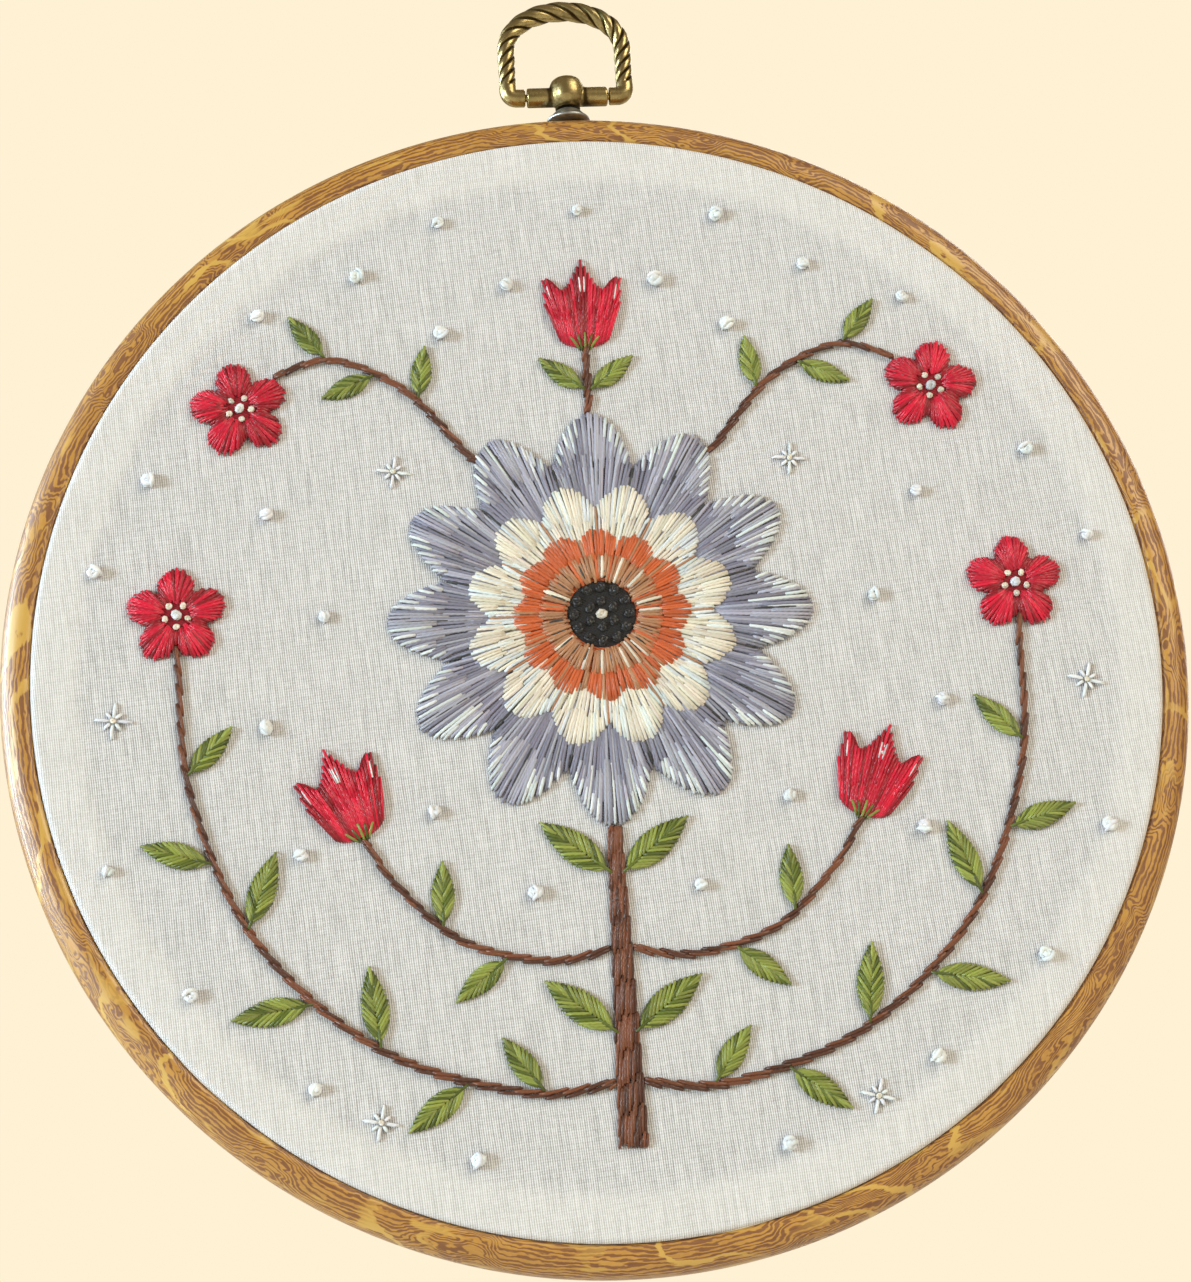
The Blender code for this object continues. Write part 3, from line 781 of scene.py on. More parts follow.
def build_inner_hoop():
    """The rigid inner hoop, its corners rounded."""
    cut = INNER_CORNER
    corners = (
        ((INNER_INSIDE + cut, INNER_FRONT), (INNER_INSIDE, INNER_FRONT + cut)),
        ((INNER_INSIDE + cut, INNER_BACK), (INNER_INSIDE, INNER_BACK - cut)),
        ((INNER_OUTSIDE - cut, INNER_BACK), (INNER_OUTSIDE, INNER_BACK - cut)),
        ((INNER_OUTSIDE - cut, INNER_FRONT), (INNER_OUTSIDE, INNER_FRONT + cut)),
    )
    rounds = [quarter(start, end, 5) for start, end in corners]
    profile = rounds[0] + rounds[1][::-1] + rounds[2] + rounds[3][::-1]
    profile.append(profile[0])
    shape = wrapped(INNER_SIDES, len(profile) - 1, hoop_spot(profile))
    shown("inner_hoop_ring", mesh_of(shape, 40), "inner_plastic", ["inner_hoop"])


def build_cloth():
    """The cotton: a thin disc pulled over the inner hoop and turned back between the hoops."""
    cloth = look("cloth")
    flat = cloth.radius - cloth.edge_radius
    inner = INNER_INSIDE
    profile = [(radius, CLOTH_DIP) for radius in np.linspace(0.0, inner - 1.2 * MM, 22)]
    profile += [(inner - 0.4 * MM, CLOTH_DIP * 0.8), (inner + 0.3 * MM, CLOTH_DIP * 0.25)]
    profile += [(inner + 1.2 * MM, 0.0)]
    profile += [(radius, 0.0) for radius in np.linspace(inner + 2.4 * MM, flat - 0.6 * MM, 3)]
    profile += quarter((flat, 0.0), (cloth.radius, cloth.edge_radius), 10)
    profile += [(cloth.radius, along) for along in np.linspace(cloth.edge_radius, CLOTH_BACK, 5)[1:]]
    shape = wrapped(CLOTH_SIDES, len(profile) - 1, hoop_spot(profile))
    piece = shown("cotton_cloth", mesh_of(shape), "cotton_weave", ["ground_cloth"])
    walls = piece.modifiers.new("thickness", "SOLIDIFY")
    walls.thickness = cloth.thickness
    walls.offset = -1.0
    walls.use_rim = True


def turned_shape(profile, steps, centre, axis, across):
    """A small profile of radius and height, both in mm, turned full circle round an axis."""
    shape = bmesh.new()
    verts = [shape.verts.new(centre + across * radius * MM + axis * along * MM) for radius, along in profile]
    edges = [shape.edges.new(pair) for pair in zip(verts, verts[1:])]
    bmesh.ops.spin(
        shape, geom=verts + edges, cent=centre, axis=axis, angle=math.tau, steps=steps, use_merge=True
    )
    bmesh.ops.remove_doubles(shape, verts=shape.verts, dist=MERGE)
    bmesh.ops.recalc_face_normals(shape, faces=shape.faces)
    return shape


def build_collar():
    """The plated collar on the hoop's crown: a flared dome with a rolled rim."""
    base = (0.3 * MM - PIN_ABOVE_HOOP) / MM
    profile = [(radius, base + up) for radius, up in COLLAR_PROFILE]
    shape = turned_shape(profile, 72, Vector((0, 0, PIN_Z)), Vector((0, 0, 1)), Vector((1, 0, 0)))
    shown("collar_dome", mesh_of(shape, 45), "collar_steel", ["hanger_collar"])


def evaluated_mesh(piece):
    """The piece's mesh with its modifiers applied, and the piece itself removed."""
    bpy.context.view_layer.update()
    graph = bpy.context.evaluated_depsgraph_get()
    mesh = bpy.data.meshes.new_from_object(piece.evaluated_get(graph))
    bpy.data.objects.remove(piece)
    return mesh


def set_recess(mesh, values):
    """How deep in a hollow each vertex lies, for the patina."""
    recess = mesh.attributes.new("recess", "FLOAT", "POINT")
    recess.data.foreach_set("value", np.asarray(values, np.float32))


def build_hub():
    """The hub and its two sleeves, cast in one, with a soft fillet where they meet."""
    hanger = look("hanger")
    centre = Vector((0, 0, PIN_Z))
    hub = turned_shape(HUB_PROFILE, 64, centre, Vector((0, 0, 1)), Vector((1, 0, 0)))
    sleeve, bore, reach = hanger.sleeve_radius / MM, hanger.bore_radius / MM, SLEEVE_REACH / MM
    end = [(sleeve, reach - 0.22), (sleeve - 0.08, reach - 0.06), (sleeve - 0.22, reach)]
    end += [(bore + 0.06, reach), (bore, reach - 0.08), (bore, reach - 2.2), (0.0, reach - 2.2)]
    profile = [(radius, -along) for radius, along in reversed(end)] + end
    sleeves = turned_shape(profile, 48, centre, Vector((1, 0, 0)), Vector((0, 0, 1)))
    both = bmesh.new()
    for source in (hub, sleeves):
        both.from_mesh(plain_mesh(source))
    piece = put("hub_casting", plain_mesh(both))
    remesh = piece.modifiers.new("cast", "REMESH")
    remesh.mode = "VOXEL"
    remesh.voxel_size = HUB_VOXEL
    remesh.adaptivity = 0.0
    smooth = piece.modifiers.new("soft", "SMOOTH")
    smooth.factor = 0.5
    smooth.iterations = 5
    mesh = evaluated_mesh(piece)
    mesh.shade_smooth()
    spots = np.zeros(len(mesh.vertices) * 3)
    mesh.vertices.foreach_get("co", spots)
    spots = spots.reshape(-1, 3) / MM - np.array((0, 0, PIN_Z / MM))
    seam = np.exp(-(((np.abs(spots[:, 0]) - 2.85) / 0.35) ** 2)) * (spots[:, 2] < 1.9)
    foot = np.clip((-1.2 - spots[:, 2]) / 0.8, 0, 1)
    set_recess(mesh, np.clip(seam * 0.6 + foot * 0.7, 0, 1))
    shown("hub_casting", mesh, "antique_brass", ["hanger_hub"])


def ring_stations():
    """The ring's middle line as rows of point, radius and share of the rope, or -1 where it is plain."""
    hanger = look("hanger")
    stub = SLEEVE_REACH + SLEEVE_GAP
    plain = [(0.0, 0.0, hanger.pin_radius), (stub - 0.05 * MM, 0.0, hanger.pin_radius)]
    edge = 0.12 * MM
    plain += [(stub, 0.0, hanger.stub_radius - edge), (stub + edge, 0.0, hanger.stub_radius)]
    plain += [(stub + STUB_STRAIGHT, 0.0, hanger.stub_radius)]
    for i in range(1, 11):
        turn = math.pi / 2 * i / 10
        out = hanger.half_width - RING_CORNER + RING_CORNER * math.sin(turn)
        plain.append((out, RING_CORNER - RING_CORNER * math.cos(turn), hanger.stub_radius))
    arch = RING_RISE - RING_SHOULDER
    line = [(-hanger.half_width, ROPE_START), (-hanger.half_width, RING_SHOULDER)]
    for i in range(1, 200):
        turn = math.pi * i / 200
        up = RING_SHOULDER + arch * math.sin(turn) ** RING_FULLNESS
        line.append((-hanger.half_width * math.cos(turn), up))
    line += [(hanger.half_width, RING_SHOULDER), (hanger.half_width, ROPE_START)]
    rope = evened(line, ROPE_STEPS)
    rows = [(-out, up, radius, -1.0) for out, up, radius in plain[1:]]
    for i, (out, up) in enumerate(rope):
        at = i / ROPE_STEPS
        swell = math.sin(math.pi * at) ** 2
        radius = hanger.leg_radius + (hanger.top_radius - hanger.leg_radius) * swell
        rows.append((out, up, radius, at))
    rows += [(out, up, radius, -1.0) for out, up, radius in reversed(plain)]
    return rows


def build_ring():
    """The hanging ring: twisted rope of brass whose plain ends turn in and meet in the thin pin."""
    hanger = look("hanger")
    stations = ring_stations()
    count = len(stations)
    spots = np.array([(out, 0.0, up) for out, up, _, _ in stations])
    ahead = np.roll(spots, -1, axis=0) - np.roll(spots, 1, axis=0)
    ahead /= np.linalg.norm(ahead, axis=1)[:, None]
    side = np.cross(np.array((0.0, 1.0, 0.0)), ahead)
    front = np.cross(ahead, side)
    recess = {}

    def spot(column, row):
        k = row % count
        _, _, radius, at = stations[k]
        angle = column * math.tau
        hollow = 0.0
        if at >= 0.0:
            near = (angle + math.pi / ROPE_LOBES) % (math.tau / ROPE_LOBES) - math.pi / ROPE_LOBES
            fade = min(1.0, at / 0.012, (1.0 - at) / 0.012)
            hollow = math.exp(-((near / 0.2) ** 2)) * fade
            belly = (near / (math.pi / ROPE_LOBES)) ** 2
            radius *= 1.0 - hanger.groove_depth * hollow - 0.05 * (1.0 - belly) * fade
            angle += (at * math.tau + ROPE_SLACK * math.sin(at * math.tau)) * ROPE_TURNS
        away = side[k] * math.cos(angle) + front[k] * math.sin(angle)
        place = Vector(spots[k] + away * radius) + Vector((0, 0, PIN_Z))
        recess[tuple(round(c * 1e7) for c in place)] = hollow
        return place

    shape = wrapped(ROPE_SIDES, count, spot)
    mesh = mesh_of(shape, 42)
    set_recess(mesh, [recess.get(tuple(round(c * 1e7) for c in v.co), 0.0) for v in mesh.vertices])
    shown("rope_ring", mesh, "antique_brass", ["hanger_ring"])


def cloth_points(places):
    """Places over the cloth, in mm, as points in metres."""
    places = np.asarray(places, float)
    points = np.empty(places.shape)
    points[..., 0] = places[..., 0] * MM
    points[..., 1] = FACE_Y - places[..., 2] * MM
    points[..., 2] = HOOP_Z + places[..., 1] * MM
    return points


def strand_template(levels):
    """A closed tube with a ring of vertices at each level, cut from a plain cylinder."""
    shape = bmesh.new()
    bmesh.ops.create_cone(
        shape, cap_ends=True, segments=STRAND_SIDES, radius1=1.0, radius2=1.0, depth=levels - 1
    )
    bmesh.ops.translate(shape, verts=shape.verts, vec=(0, 0, (levels - 1) / 2))
    for cut in range(1, levels - 1):
        geometry = shape.verts[:] + shape.edges[:] + shape.faces[:]
        bmesh.ops.bisect_plane(shape, geom=geometry, plane_co=(0, 0, cut), plane_no=(0, 0, 1))
    shape.verts.index_update()
    around = np.array([math.atan2(vert.co.y, vert.co.x) for vert in shape.verts])
    level = np.array([round(vert.co.z) for vert in shape.verts])
    faces = [[vert.index for vert in face.verts] for face in shape.faces]
    shape.free()
    return around, level, faces


class Stitches:
    """Stitches gathered for one piece: each is a line of places over the cloth, a width and a tone."""

    def __init__(self, seed, tones=(0.8, 1.1)):
        self.chance = random.Random(seed)
        self.tones = tones
        self.kept = []

    def add(self, path, tone, width=None):
        """A strand along a path, its tone a little lighter or darker than asked."""
        width = look("stitch").width if width is None else width
        spread = self.chance.uniform(*self.tones)
        shade = tuple(min(1.0, c * spread * self.chance.uniform(0.97, 1.03)) for c in tone)
        self.kept.append((path, width * self.chance.uniform(0.92, 1.06), shade))

    def straight(self, start, end, surface, tone, lift=0.0, width=None, bow=None):
        """A stitch that comes up at start, lies on the surface and goes down at end."""
        start, end = Vector(start), Vector(end)
        along = end - start
        length = max(along.length, 0.01)
        across = Vector((-along.y, along.x)) / length
        bow = self.chance.uniform(-0.07, 0.07) if bow is None else bow
        dive = min(0.28, 0.32 / length)
        path = []
        for at in (0.0, dive, 0.36, 0.64, 1.0 - dive, 1.0):
            spot = start + along * at + across * bow * (1 - (2 * at - 1) ** 2)
            height = STITCH_END if at in (0.0, 1.0) else surface(spot.x, spot.y) + lift
            path.append((spot.x, spot.y, height))
        self.add(path, tone, width)

    def spoke(self, centre, start, end, *settings):
        """A straight stitch whose ends are each an angle and a distance from the centre."""
        self.straight(polar(centre, *start), polar(centre, *end), *settings)

    def knot(self, x, z, across, tone, lift=0.0):
        """A knot wound from one strand: an uneven coil that rises and crosses its own middle."""
        turn = self.chance.uniform(0, math.tau)
        cos, sin = math.cos(turn), math.sin(turn)
        turns = 2.2 + self.chance.uniform(-0.25, 0.35)
        squash = self.chance.uniform(0.74, 1.0)
        uneven = self.chance.uniform(0.06, 0.2)
        path = []
        for i in range(COIL_STEPS + 1):
            at = i / COIL_STEPS
            angle = at * turns * math.tau
            close = max(0.0, (at - 0.8) / 0.2)
            out = across * 0.28 * (1.0 - 0.35 * at) * (1.0 - 1.7 * close) * min(1.0, 0.5 + at * 8)
            out *= 1.0 + uneven * math.sin(angle * 1.6 + turn)
            rise = across * (0.1 + 0.3 * at + 0.08 * math.sin(angle * 1.7 + turn))
            height = COIL_END if i == 0 else rise - close**2 * across * 0.1
            dx, dz = out * math.sin(angle), out * math.cos(angle) * squash
            path.append((x + dx * cos - dz * sin, z + dx * sin + dz * cos, lift + height))
        self.add(path, tone, across * 0.38)

    def backs(self):
        """The same thread on the back of the cloth: some of the strands, lying flat."""
        found = []
        for path, width, tone in self.kept[::BACK_EVERY]:
            if len(path) == STITCH_POINTS:
                low = BACK_DEPTH - self.chance.uniform(0.0, BACK_SPREAD)
                heights = [BACK_END] + [low] * (STITCH_POINTS - 2) + [BACK_END]
                found.append(([(x, z, y) for (x, z, _), y in zip(path, heights)], width, tone))
        return found

    def mesh(self):
        """One mesh of all the strands, with their tones and a UV map that runs along each."""
        flat = look("stitch").flatness
        verts, faces, tones, uvs = [], [], [], []
        base = 0
        groups = [(levels, -1.0, self.kept) for levels in sorted({len(path) for path, _, _ in self.kept})]
        groups.append((STITCH_POINTS, 1.0, self.backs()))
        for levels, facing, kept in groups:
            chosen = [strand for strand in kept if len(strand[0]) == levels]
            if not chosen:
                continue
            around, level, template = strand_template(levels)
            paths = cloth_points([path for path, _, _ in chosen])
            widths = np.array([width for _, width, _ in chosen]) * MM / 2
            ahead = np.gradient(paths, axis=1)
            ahead /= np.linalg.norm(ahead, axis=2, keepdims=True)
            side = np.cross(np.array((0.0, facing, 0.0)), ahead)
            side /= np.maximum(np.linalg.norm(side, axis=2, keepdims=True), 1e-6)
            over = np.cross(ahead, side)
            taper = np.ones(levels)
            taper[0] = taper[-1] = 0.4
            taper[1] = taper[-2] = 0.88
            thick = flat if levels == STITCH_POINTS else COIL_FLATNESS
            reach = (widths[:, None] * taper[level][None, :])[..., None]
            rim = side[:, level] * np.cos(around)[None, :, None]
            rim = rim + over[:, level] * np.sin(around)[None, :, None] * thick
            placed = paths[:, level] + rim * reach
            steps = np.linalg.norm(np.diff(paths, axis=1), axis=2) / MM
            lengths = np.concatenate((np.zeros((len(chosen), 1)), np.cumsum(steps, axis=1)), axis=1)
            turn = around / math.tau % 1.0
            count = len(around)
            for i, (_, _, tone) in enumerate(chosen):
                tones.append(np.tile((*tone, 1.0), (count, 1)))
                shift = base + i * count
                faces.extend([index + shift for index in face] for face in template)
            corner, lap = [], []
            for face in template:
                wraps = max(turn[face]) - min(turn[face]) > 0.5 and len(face) == 4
                lap += [turn[k] + (1.0 if wraps and turn[k] < 0.5 else 0.0) for k in face]
                corner += face
            # Each strand's plies start at another point of their twist
            u = lengths[:, level[corner]] + np.arange(len(chosen))[:, None] * 0.37
            v = np.tile(lap, (len(chosen), 1))
            uvs.append(np.stack((u, v), axis=2).reshape(-1, 2))
            verts.append(placed.reshape(-1, 3))
            base += len(chosen) * count
        mesh = bpy.data.meshes.new("piece")
        mesh.from_pydata(np.concatenate(verts), [], faces)
        laid = np.concatenate(uvs).astype(np.float32)
        mesh.uv_layers.new(name="UVMap").uv.foreach_set("vector", laid.ravel())
        set_tones(mesh, np.concatenate(tones))
        mesh.shade_smooth()
        return mesh


def set_tones(mesh, tones):
    """The thread's colour at each vertex."""
    kept = mesh.color_attributes.new("tone", "FLOAT_COLOR", "POINT")
    kept.data.foreach_set("color", np.asarray(tones, np.float32).ravel())


def underlay(name, pads):
    """Padding stitches as low mounds: each pad is an outline, its height in mm and a tone, mostly darker than
    the thread above, as painted shade in the gaps between the stitches.
    """
    shape = bmesh.new()
    tones = []
    for outline, relief, tone in pads:
        before = len(shape.verts)
        verts = [shape.verts.new(Vector(cloth_points((x, z, -0.1)))) for x, z in outline]
        base = shape.faces.new(verts)
        base.normal_update()
        if base.normal.y < 0:
            base.normal_flip()
        middle = base.calc_center_median()
        top = base
        for part, inwards in ((0.45, 1.0), (0.4, 0.95), (0.15, 0.85)):
            grown = bmesh.ops.extrude_face_region(shape, geom=[top], use_keep_orig=top is base)["geom"]
            top = next(face for face in grown if isinstance(face, bmesh.types.BMFace))
            rise = relief * part + 0.1 * (part > 0.41)
            bmesh.ops.translate(shape, verts=top.verts, vec=(0, -rise * MM, 0))
            about = Matrix.Translation(-middle)
            bmesh.ops.scale(shape, verts=top.verts, vec=(inwards, 1.0, inwards), space=about)
        tones += [(*tone, 1.0)] * (len(shape.verts) - before)
    bmesh.ops.recalc_face_normals(shape, faces=shape.faces)
    mesh = plain_mesh(shape)
    set_tones(mesh, tones)
    shown(name, mesh, "underlay_and_gap_shade")


def stitched(stitches, name, thread, nodes, pads=()):
    """The stitches as one piece, with their padding as another below them."""
    shown(f"{name}_stitches", stitches.mesh(), thread, nodes)
    if pads:
        underlay(f"{name}_underlay", pads)


def numbered(name, count):
    """The names of the solids that come in numbers."""
    return [f"{name}_{number:02d}" for number in range(1, count + 1)]


def polar(centre, angle, radius):
    """The place at an angle, clockwise from straight up, and a distance from a centre."""
    return (centre[0] + radius * math.sin(angle), centre[1] + radius * math.cos(angle))


def disc(centre, radius, steps=36):
    """A circle's outline."""
    return [polar(centre, math.tau * i / steps, radius) for i in range(steps)]


def dome(near, power):
    """A rounded height, 1 in the middle and 0 where near is 1."""
    return max(0.0, 1.0 - near**power) ** 0.5


class Rosette:
    """A round of petals: how many, how far out their tips and valleys lie in mm, and how round they are."""

    def __init__(self, petals, tip, valley, roundness):
        self.petals = petals
        self.tip = tip
        self.valley = valley
        self.roundness = roundness

    def edge(self, offset):
        """The outline's radius at an angle from a petal's middle."""
        wave = abs(math.cos(self.petals * offset / 2)) ** self.roundness
        return self.valley + (self.tip - self.valley) * wave

    def outline(self, centre, turn, inwards):
        """The whole outline, closed, drawn in by a little."""
        steps = self.petals * 10
        angles = [math.tau * i / steps for i in range(steps)]
        return [polar(centre, angle + turn, self.edge(angle) - inwards) for angle in angles]


FLOWER = Rosette(12, 32.0, 24.0, 1.1)
CREAM_PETALS = Rosette(12, 20.6, 16.6, 0.9)
RUST_PETALS = Rosette(12, 13.6, 12.0, 1.0)
BLOSSOM = Rosette(5, 7.6, 4.3, 0.7)


def mixed(main, *others, edge=None, reach=2.0):
    """Tones for a row: the others, as (share, tone) pairs out of one draw, and edge beyond reach."""

    def tone(part, chance):
        if abs(part) > reach:
            return edge
        draw = chance.random()
        return next((other for limit, other in others if draw < limit), main)

    return tone


def petal_row(stitches, centre, petals, turn, count, outer, inner, pull, surface, tone, lift=0.0, ragged=0.8):
    """One row of each petal's long and short stitches, from outer(offset) in to a ragged inner line."""
    chance = stitches.chance
    span = math.tau / petals
    for petal in range(petals):
        axis = turn + petal * span
        for k in range(count):
            part = (k + 0.5) / count * 2 - 1
            offset = part * span / 2 * 0.98
            offset += span / count * chance.uniform(-0.3, 0.3)
            start = outer(offset) - chance.uniform(-0.1, 0.4)
            end = inner + chance.uniform(-ragged, ragged)
            if start - end < 1.0:
                continue
            ends = (axis + offset, start), (axis + offset * pull, end)
            stitches.spoke(centre, *ends, surface, tone(part, chance), lift + chance.uniform(-0.07, 0.07))


def flower_surface(x, z):
    """Height of the big flower's padding over the cloth."""
    dx, dz = x - FLOWER_CENTRE[0], z - FLOWER_CENTRE[1]
    near = min(1.0, math.hypot(dx, dz) / FLOWER.edge(math.atan2(dx, dz)))
    return 0.22 + 0.46 * dome(near, 7)


def build_main_flower():
    """The big flower: lavender petals, cream inner petals, rust and tan rings and a knotted black centre."""
    stitch = look("stitch")
    stitches = Stitches(11)
    centre = FLOWER_CENTRE
    half = math.pi / FLOWER.petals
    axes = [petal * 2 * half for petal in range(FLOWER.petals)]
    lavender = mixed(
        stitch.lavender, (0.13, stitch.ice), (0.3, stitch.slate), edge=stitch.slate, reach=0.84
    )
    cream = mixed(stitch.cream, (0.2, stitch.ice), edge=stitch.ice, reach=0.88)
    rust = mixed(stitch.rust, (0.12, stitch.tan))
    tan = mixed(stitch.tan, (0.1, stitch.rust), (0.2, stitch.cream))

    def deep_lavender(part, chance):
        return stitch.slate if chance.random() < 0.5 + 0.3 * abs(part) else stitch.lavender

    def row(turn, count, outer, inner, pull, tone, lift, ragged=0.8):
        """A row of stitches in every petal of the flower."""
        settings = (turn, count, outer, inner, pull, flower_surface, tone, lift, ragged)
        petal_row(stitches, centre, FLOWER.petals, *settings)

    def spoke(start, end, *settings):
        """A single stitch on the flower, its ends an angle and a distance each."""
        stitches.spoke(centre, start, end, flower_surface, *settings)

    row(0.0, 17, lambda offset: 20.5, 13.5, 0.92, deep_lavender, 0.0)
    row(0.0, 23, lambda offset: FLOWER.edge(offset) * 0.55 + 11.3, 17.0, 0.88, deep_lavender, 0.03)
    row(0.0, 30, FLOWER.edge, 23.5, 0.9, lavender, 0.08, 1.8)
    for axis in axes:
        for side in (-1, 1):
            for k in range(5):
                offset = side * half * (0.30 + 0.13 * k)
                start = FLOWER.edge(offset) + 0.1
                spoke((axis + offset, start), (axis + offset * 0.93, start - 3.6 + 0.3 * k), stitch.ice, 0.17)
        for side in (-0.5, 0.0, 0.5):
            start = axis + half + side / 40.0, FLOWER.valley - 0.4 - abs(side) * 3.0
            end = axis + half + side / 21.0, 17.5 - abs(side) * 4.0
            spoke(start, end, stitch.slate if side else stitch.charcoal, 0.16, 0.42)
        for start, end in ((29.4, 25.6), (26.6, 22.6)):
            spoke((axis, start), (axis, end), stitch.charcoal, 0.18, 0.34, 0.0)
    row(half, 14, lambda offset: 16.4, 10.5, 0.95, cream, 0.2)
    row(half, 20, CREAM_PETALS.edge, 14.6, 0.92, cream, 0.27, 1.3)
    for axis in axes:
        spoke((axis, 16.9), (axis, 11.5), stitch.tan, 0.38, 0.36, 0.0)
    row(0.0, 13, RUST_PETALS.edge, 8.3, 1.0, rust, 0.38)
    row(0.0, 9, lambda offset: 9.5, 5.2, 1.0, tan, 0.46, 0.5)
    between = [math.tau * (k + 0.5) / 24 for k in range(24)]
    for angle in between:
        spoke((angle, 8.2), (angle, 5.6), stitch.charcoal, 0.55, 0.34)
    for count, out, across, tone in (
        (1, 0.0, 2.2, stitch.cream), (6, 2.0, 2.0, stitch.black), (12, 4.1, 2.1, stitch.black)
    ):
        for k in range(count):
            stitches.knot(*polar(centre, math.tau * k / count, out), across, tone, 0.42)
    for k, angle in enumerate(between):
        stitches.knot(*polar(centre, angle, 5.9), 1.1, stitch.cream if k % 2 else stitch.charcoal, 0.5)
    # The lavender petals' pad is slate, darker than their thread, as painted shade in the gaps
    pads = [(FLOWER.outline(centre, 0.0, 0.7), 0.5, stitch.slate), (disc(centre, 16.0), 0.72, stitch.cream)]
    pads += [(disc(centre, 11.5), 0.88, stitch.rust), (disc(centre, 5.6), 1.0, stitch.black)]
    stitched(stitches, "main_flower", "lavender_thread", ["main_flower"], pads)


def smooth_route(points, steps):
    """Even parameter steps of a curve through the points, as (place, direction) pairs."""
    padded = [points[0]] + list(points) + [points[-1]]
    spans = len(points) - 1
    found = []
    for i in range(steps + 1):
        k = min(spans * i // steps, spans - 1)
        t = spans * i / steps - k
        before, start, end, after = (Vector(point) for point in padded[k : k + 4])
        slope = end - before
        bend = 2 * before - 5 * start + 4 * end - after
        twist = 3 * start - before - 3 * end + after
        place = start + 0.5 * (slope * t + bend * t**2 + twist * t**3)
        way = slope + 2 * bend * t + 3 * twist * t**2
        found.append((place, way.normalized()))
    return found


def stem_rows(stitches, name, points, side):
    """Rows of long stitches side by side along a stem, each row set off from the next."""
    stitch = look("stitch")
    chance = stitches.chance
    widths = STEM_WIDTHS[name]
    before, after = STEM_REACH[name]
    route = smooth_route(points, 160)
    (first, out), (last, on) = route[0], route[-1]
    route = [(first - out * before, out)] + route[before == 0 :] + [(last + on * after, on)]
    lengths = [0.0]
    for (a, _), (b, _) in zip(route, route[1:]):
        lengths.append(lengths[-1] + (b - a).length)
    total = lengths[-1]

    def at(distance):
        """Place, way and half width at a distance along the stem."""
        k = max(0, min(int(np.searchsorted(lengths, distance, side="right")) - 1, len(route) - 2))
        part = (distance - lengths[k]) / max(lengths[k + 1] - lengths[k], 1e-9)
        place = route[k][0].lerp(route[k + 1][0], part)
        way = route[k][1].lerp(route[k + 1][1], part).normalized()
        return place, way, widths[0] + (widths[1] - widths[0]) * distance / total

    thick = widths[0] > 1.2
    rows = round(2 * widths[0] / (stitch.pitch * 1.1)) if thick else 2
    for row in range(rows):
        part = (row + 0.5) / rows * 2 - 1
        start = -chance.uniform(0.0, 4.0)
        while start < total - 0.8:
            reach = chance.uniform(3.6, 5.4) if thick else chance.uniform(2.7, 3.6)
            low, high = max(start, 0.0), min(start + reach + (0.5 if thick else 1.3), total)
            if high - low > 0.9:
                path = []
                for i, along in enumerate((0.0, 0.08, 0.36, 0.64, 0.92, 1.0)):
                    place, way, half = at(low + (high - low) * along)
                    lean = 0.3 if thick else 0.75 * half / widths[0]
                    off = part * (half - stitch.width * 0.45) + lean * (along - 0.5)
                    spot = place + Vector((way.y, -way.x)) * off
                    crown = max(0.0, 1.0 - part**2) ** 0.5 if thick else 0.8
                    rise = 0.14 + crown * (0.46 if thick else 0.26) + (0.16 * along if not thick else 0.0)
                    path.append((side * spot.x, spot.y, COIL_END if i in (0, STITCH_POINTS - 1) else rise))
                shade = stitch.dark_brown if chance.random() < 0.34 + 0.25 * (part > 0.4) else stitch.brown
                stitches.add(path, shade, stitch.width * (1.0 if thick else 1.2))
            start += reach


def build_stems():
    """Every stem in rows of brown stitches."""
    stitches = Stitches(23)
    nodes = ["main_stem", "top_stem"]
    stem_rows(stitches, "main_stem", MAIN_STEM, 1)
    stem_rows(stitches, "top_stem", TOP_STEM, 1)
    for name, route in BRANCHES.items():
        for word, side in (("right", 1), ("left", -1)):
            stem_rows(stitches, name, route, side)
            nodes.append(f"{name}_{word}")
    stitched(stitches, "stem", "brown_thread", nodes)


def leaf_places():
    """Base, growing direction, length and width of each right-hand leaf."""
    routes = dict(BRANCHES, main_stem=MAIN_STEM, top_stem=TOP_STEM)
    for branch, at, turn_side, length, width in RIGHT_LEAVES:
        place, way = smooth_route(routes[branch], ROUTE_STEPS)[round(at * ROUTE_STEPS)]
        grow = way.copy()
        grow.rotate(Matrix.Rotation(turn_side * math.radians(LEAF_LEAN), 2))
        root, end = STEM_WIDTHS[branch]
        half = root + (end - root) * at
        yield place + grow * (half + LEAF_CLEARANCE), grow, length, width


def leaf_half(at, width):
    """Half of a leaf's width at a share of its length."""
    return width / 2 * math.sin(math.pi * at**LEAF_FULLEST) ** LEAF_FULLNESS


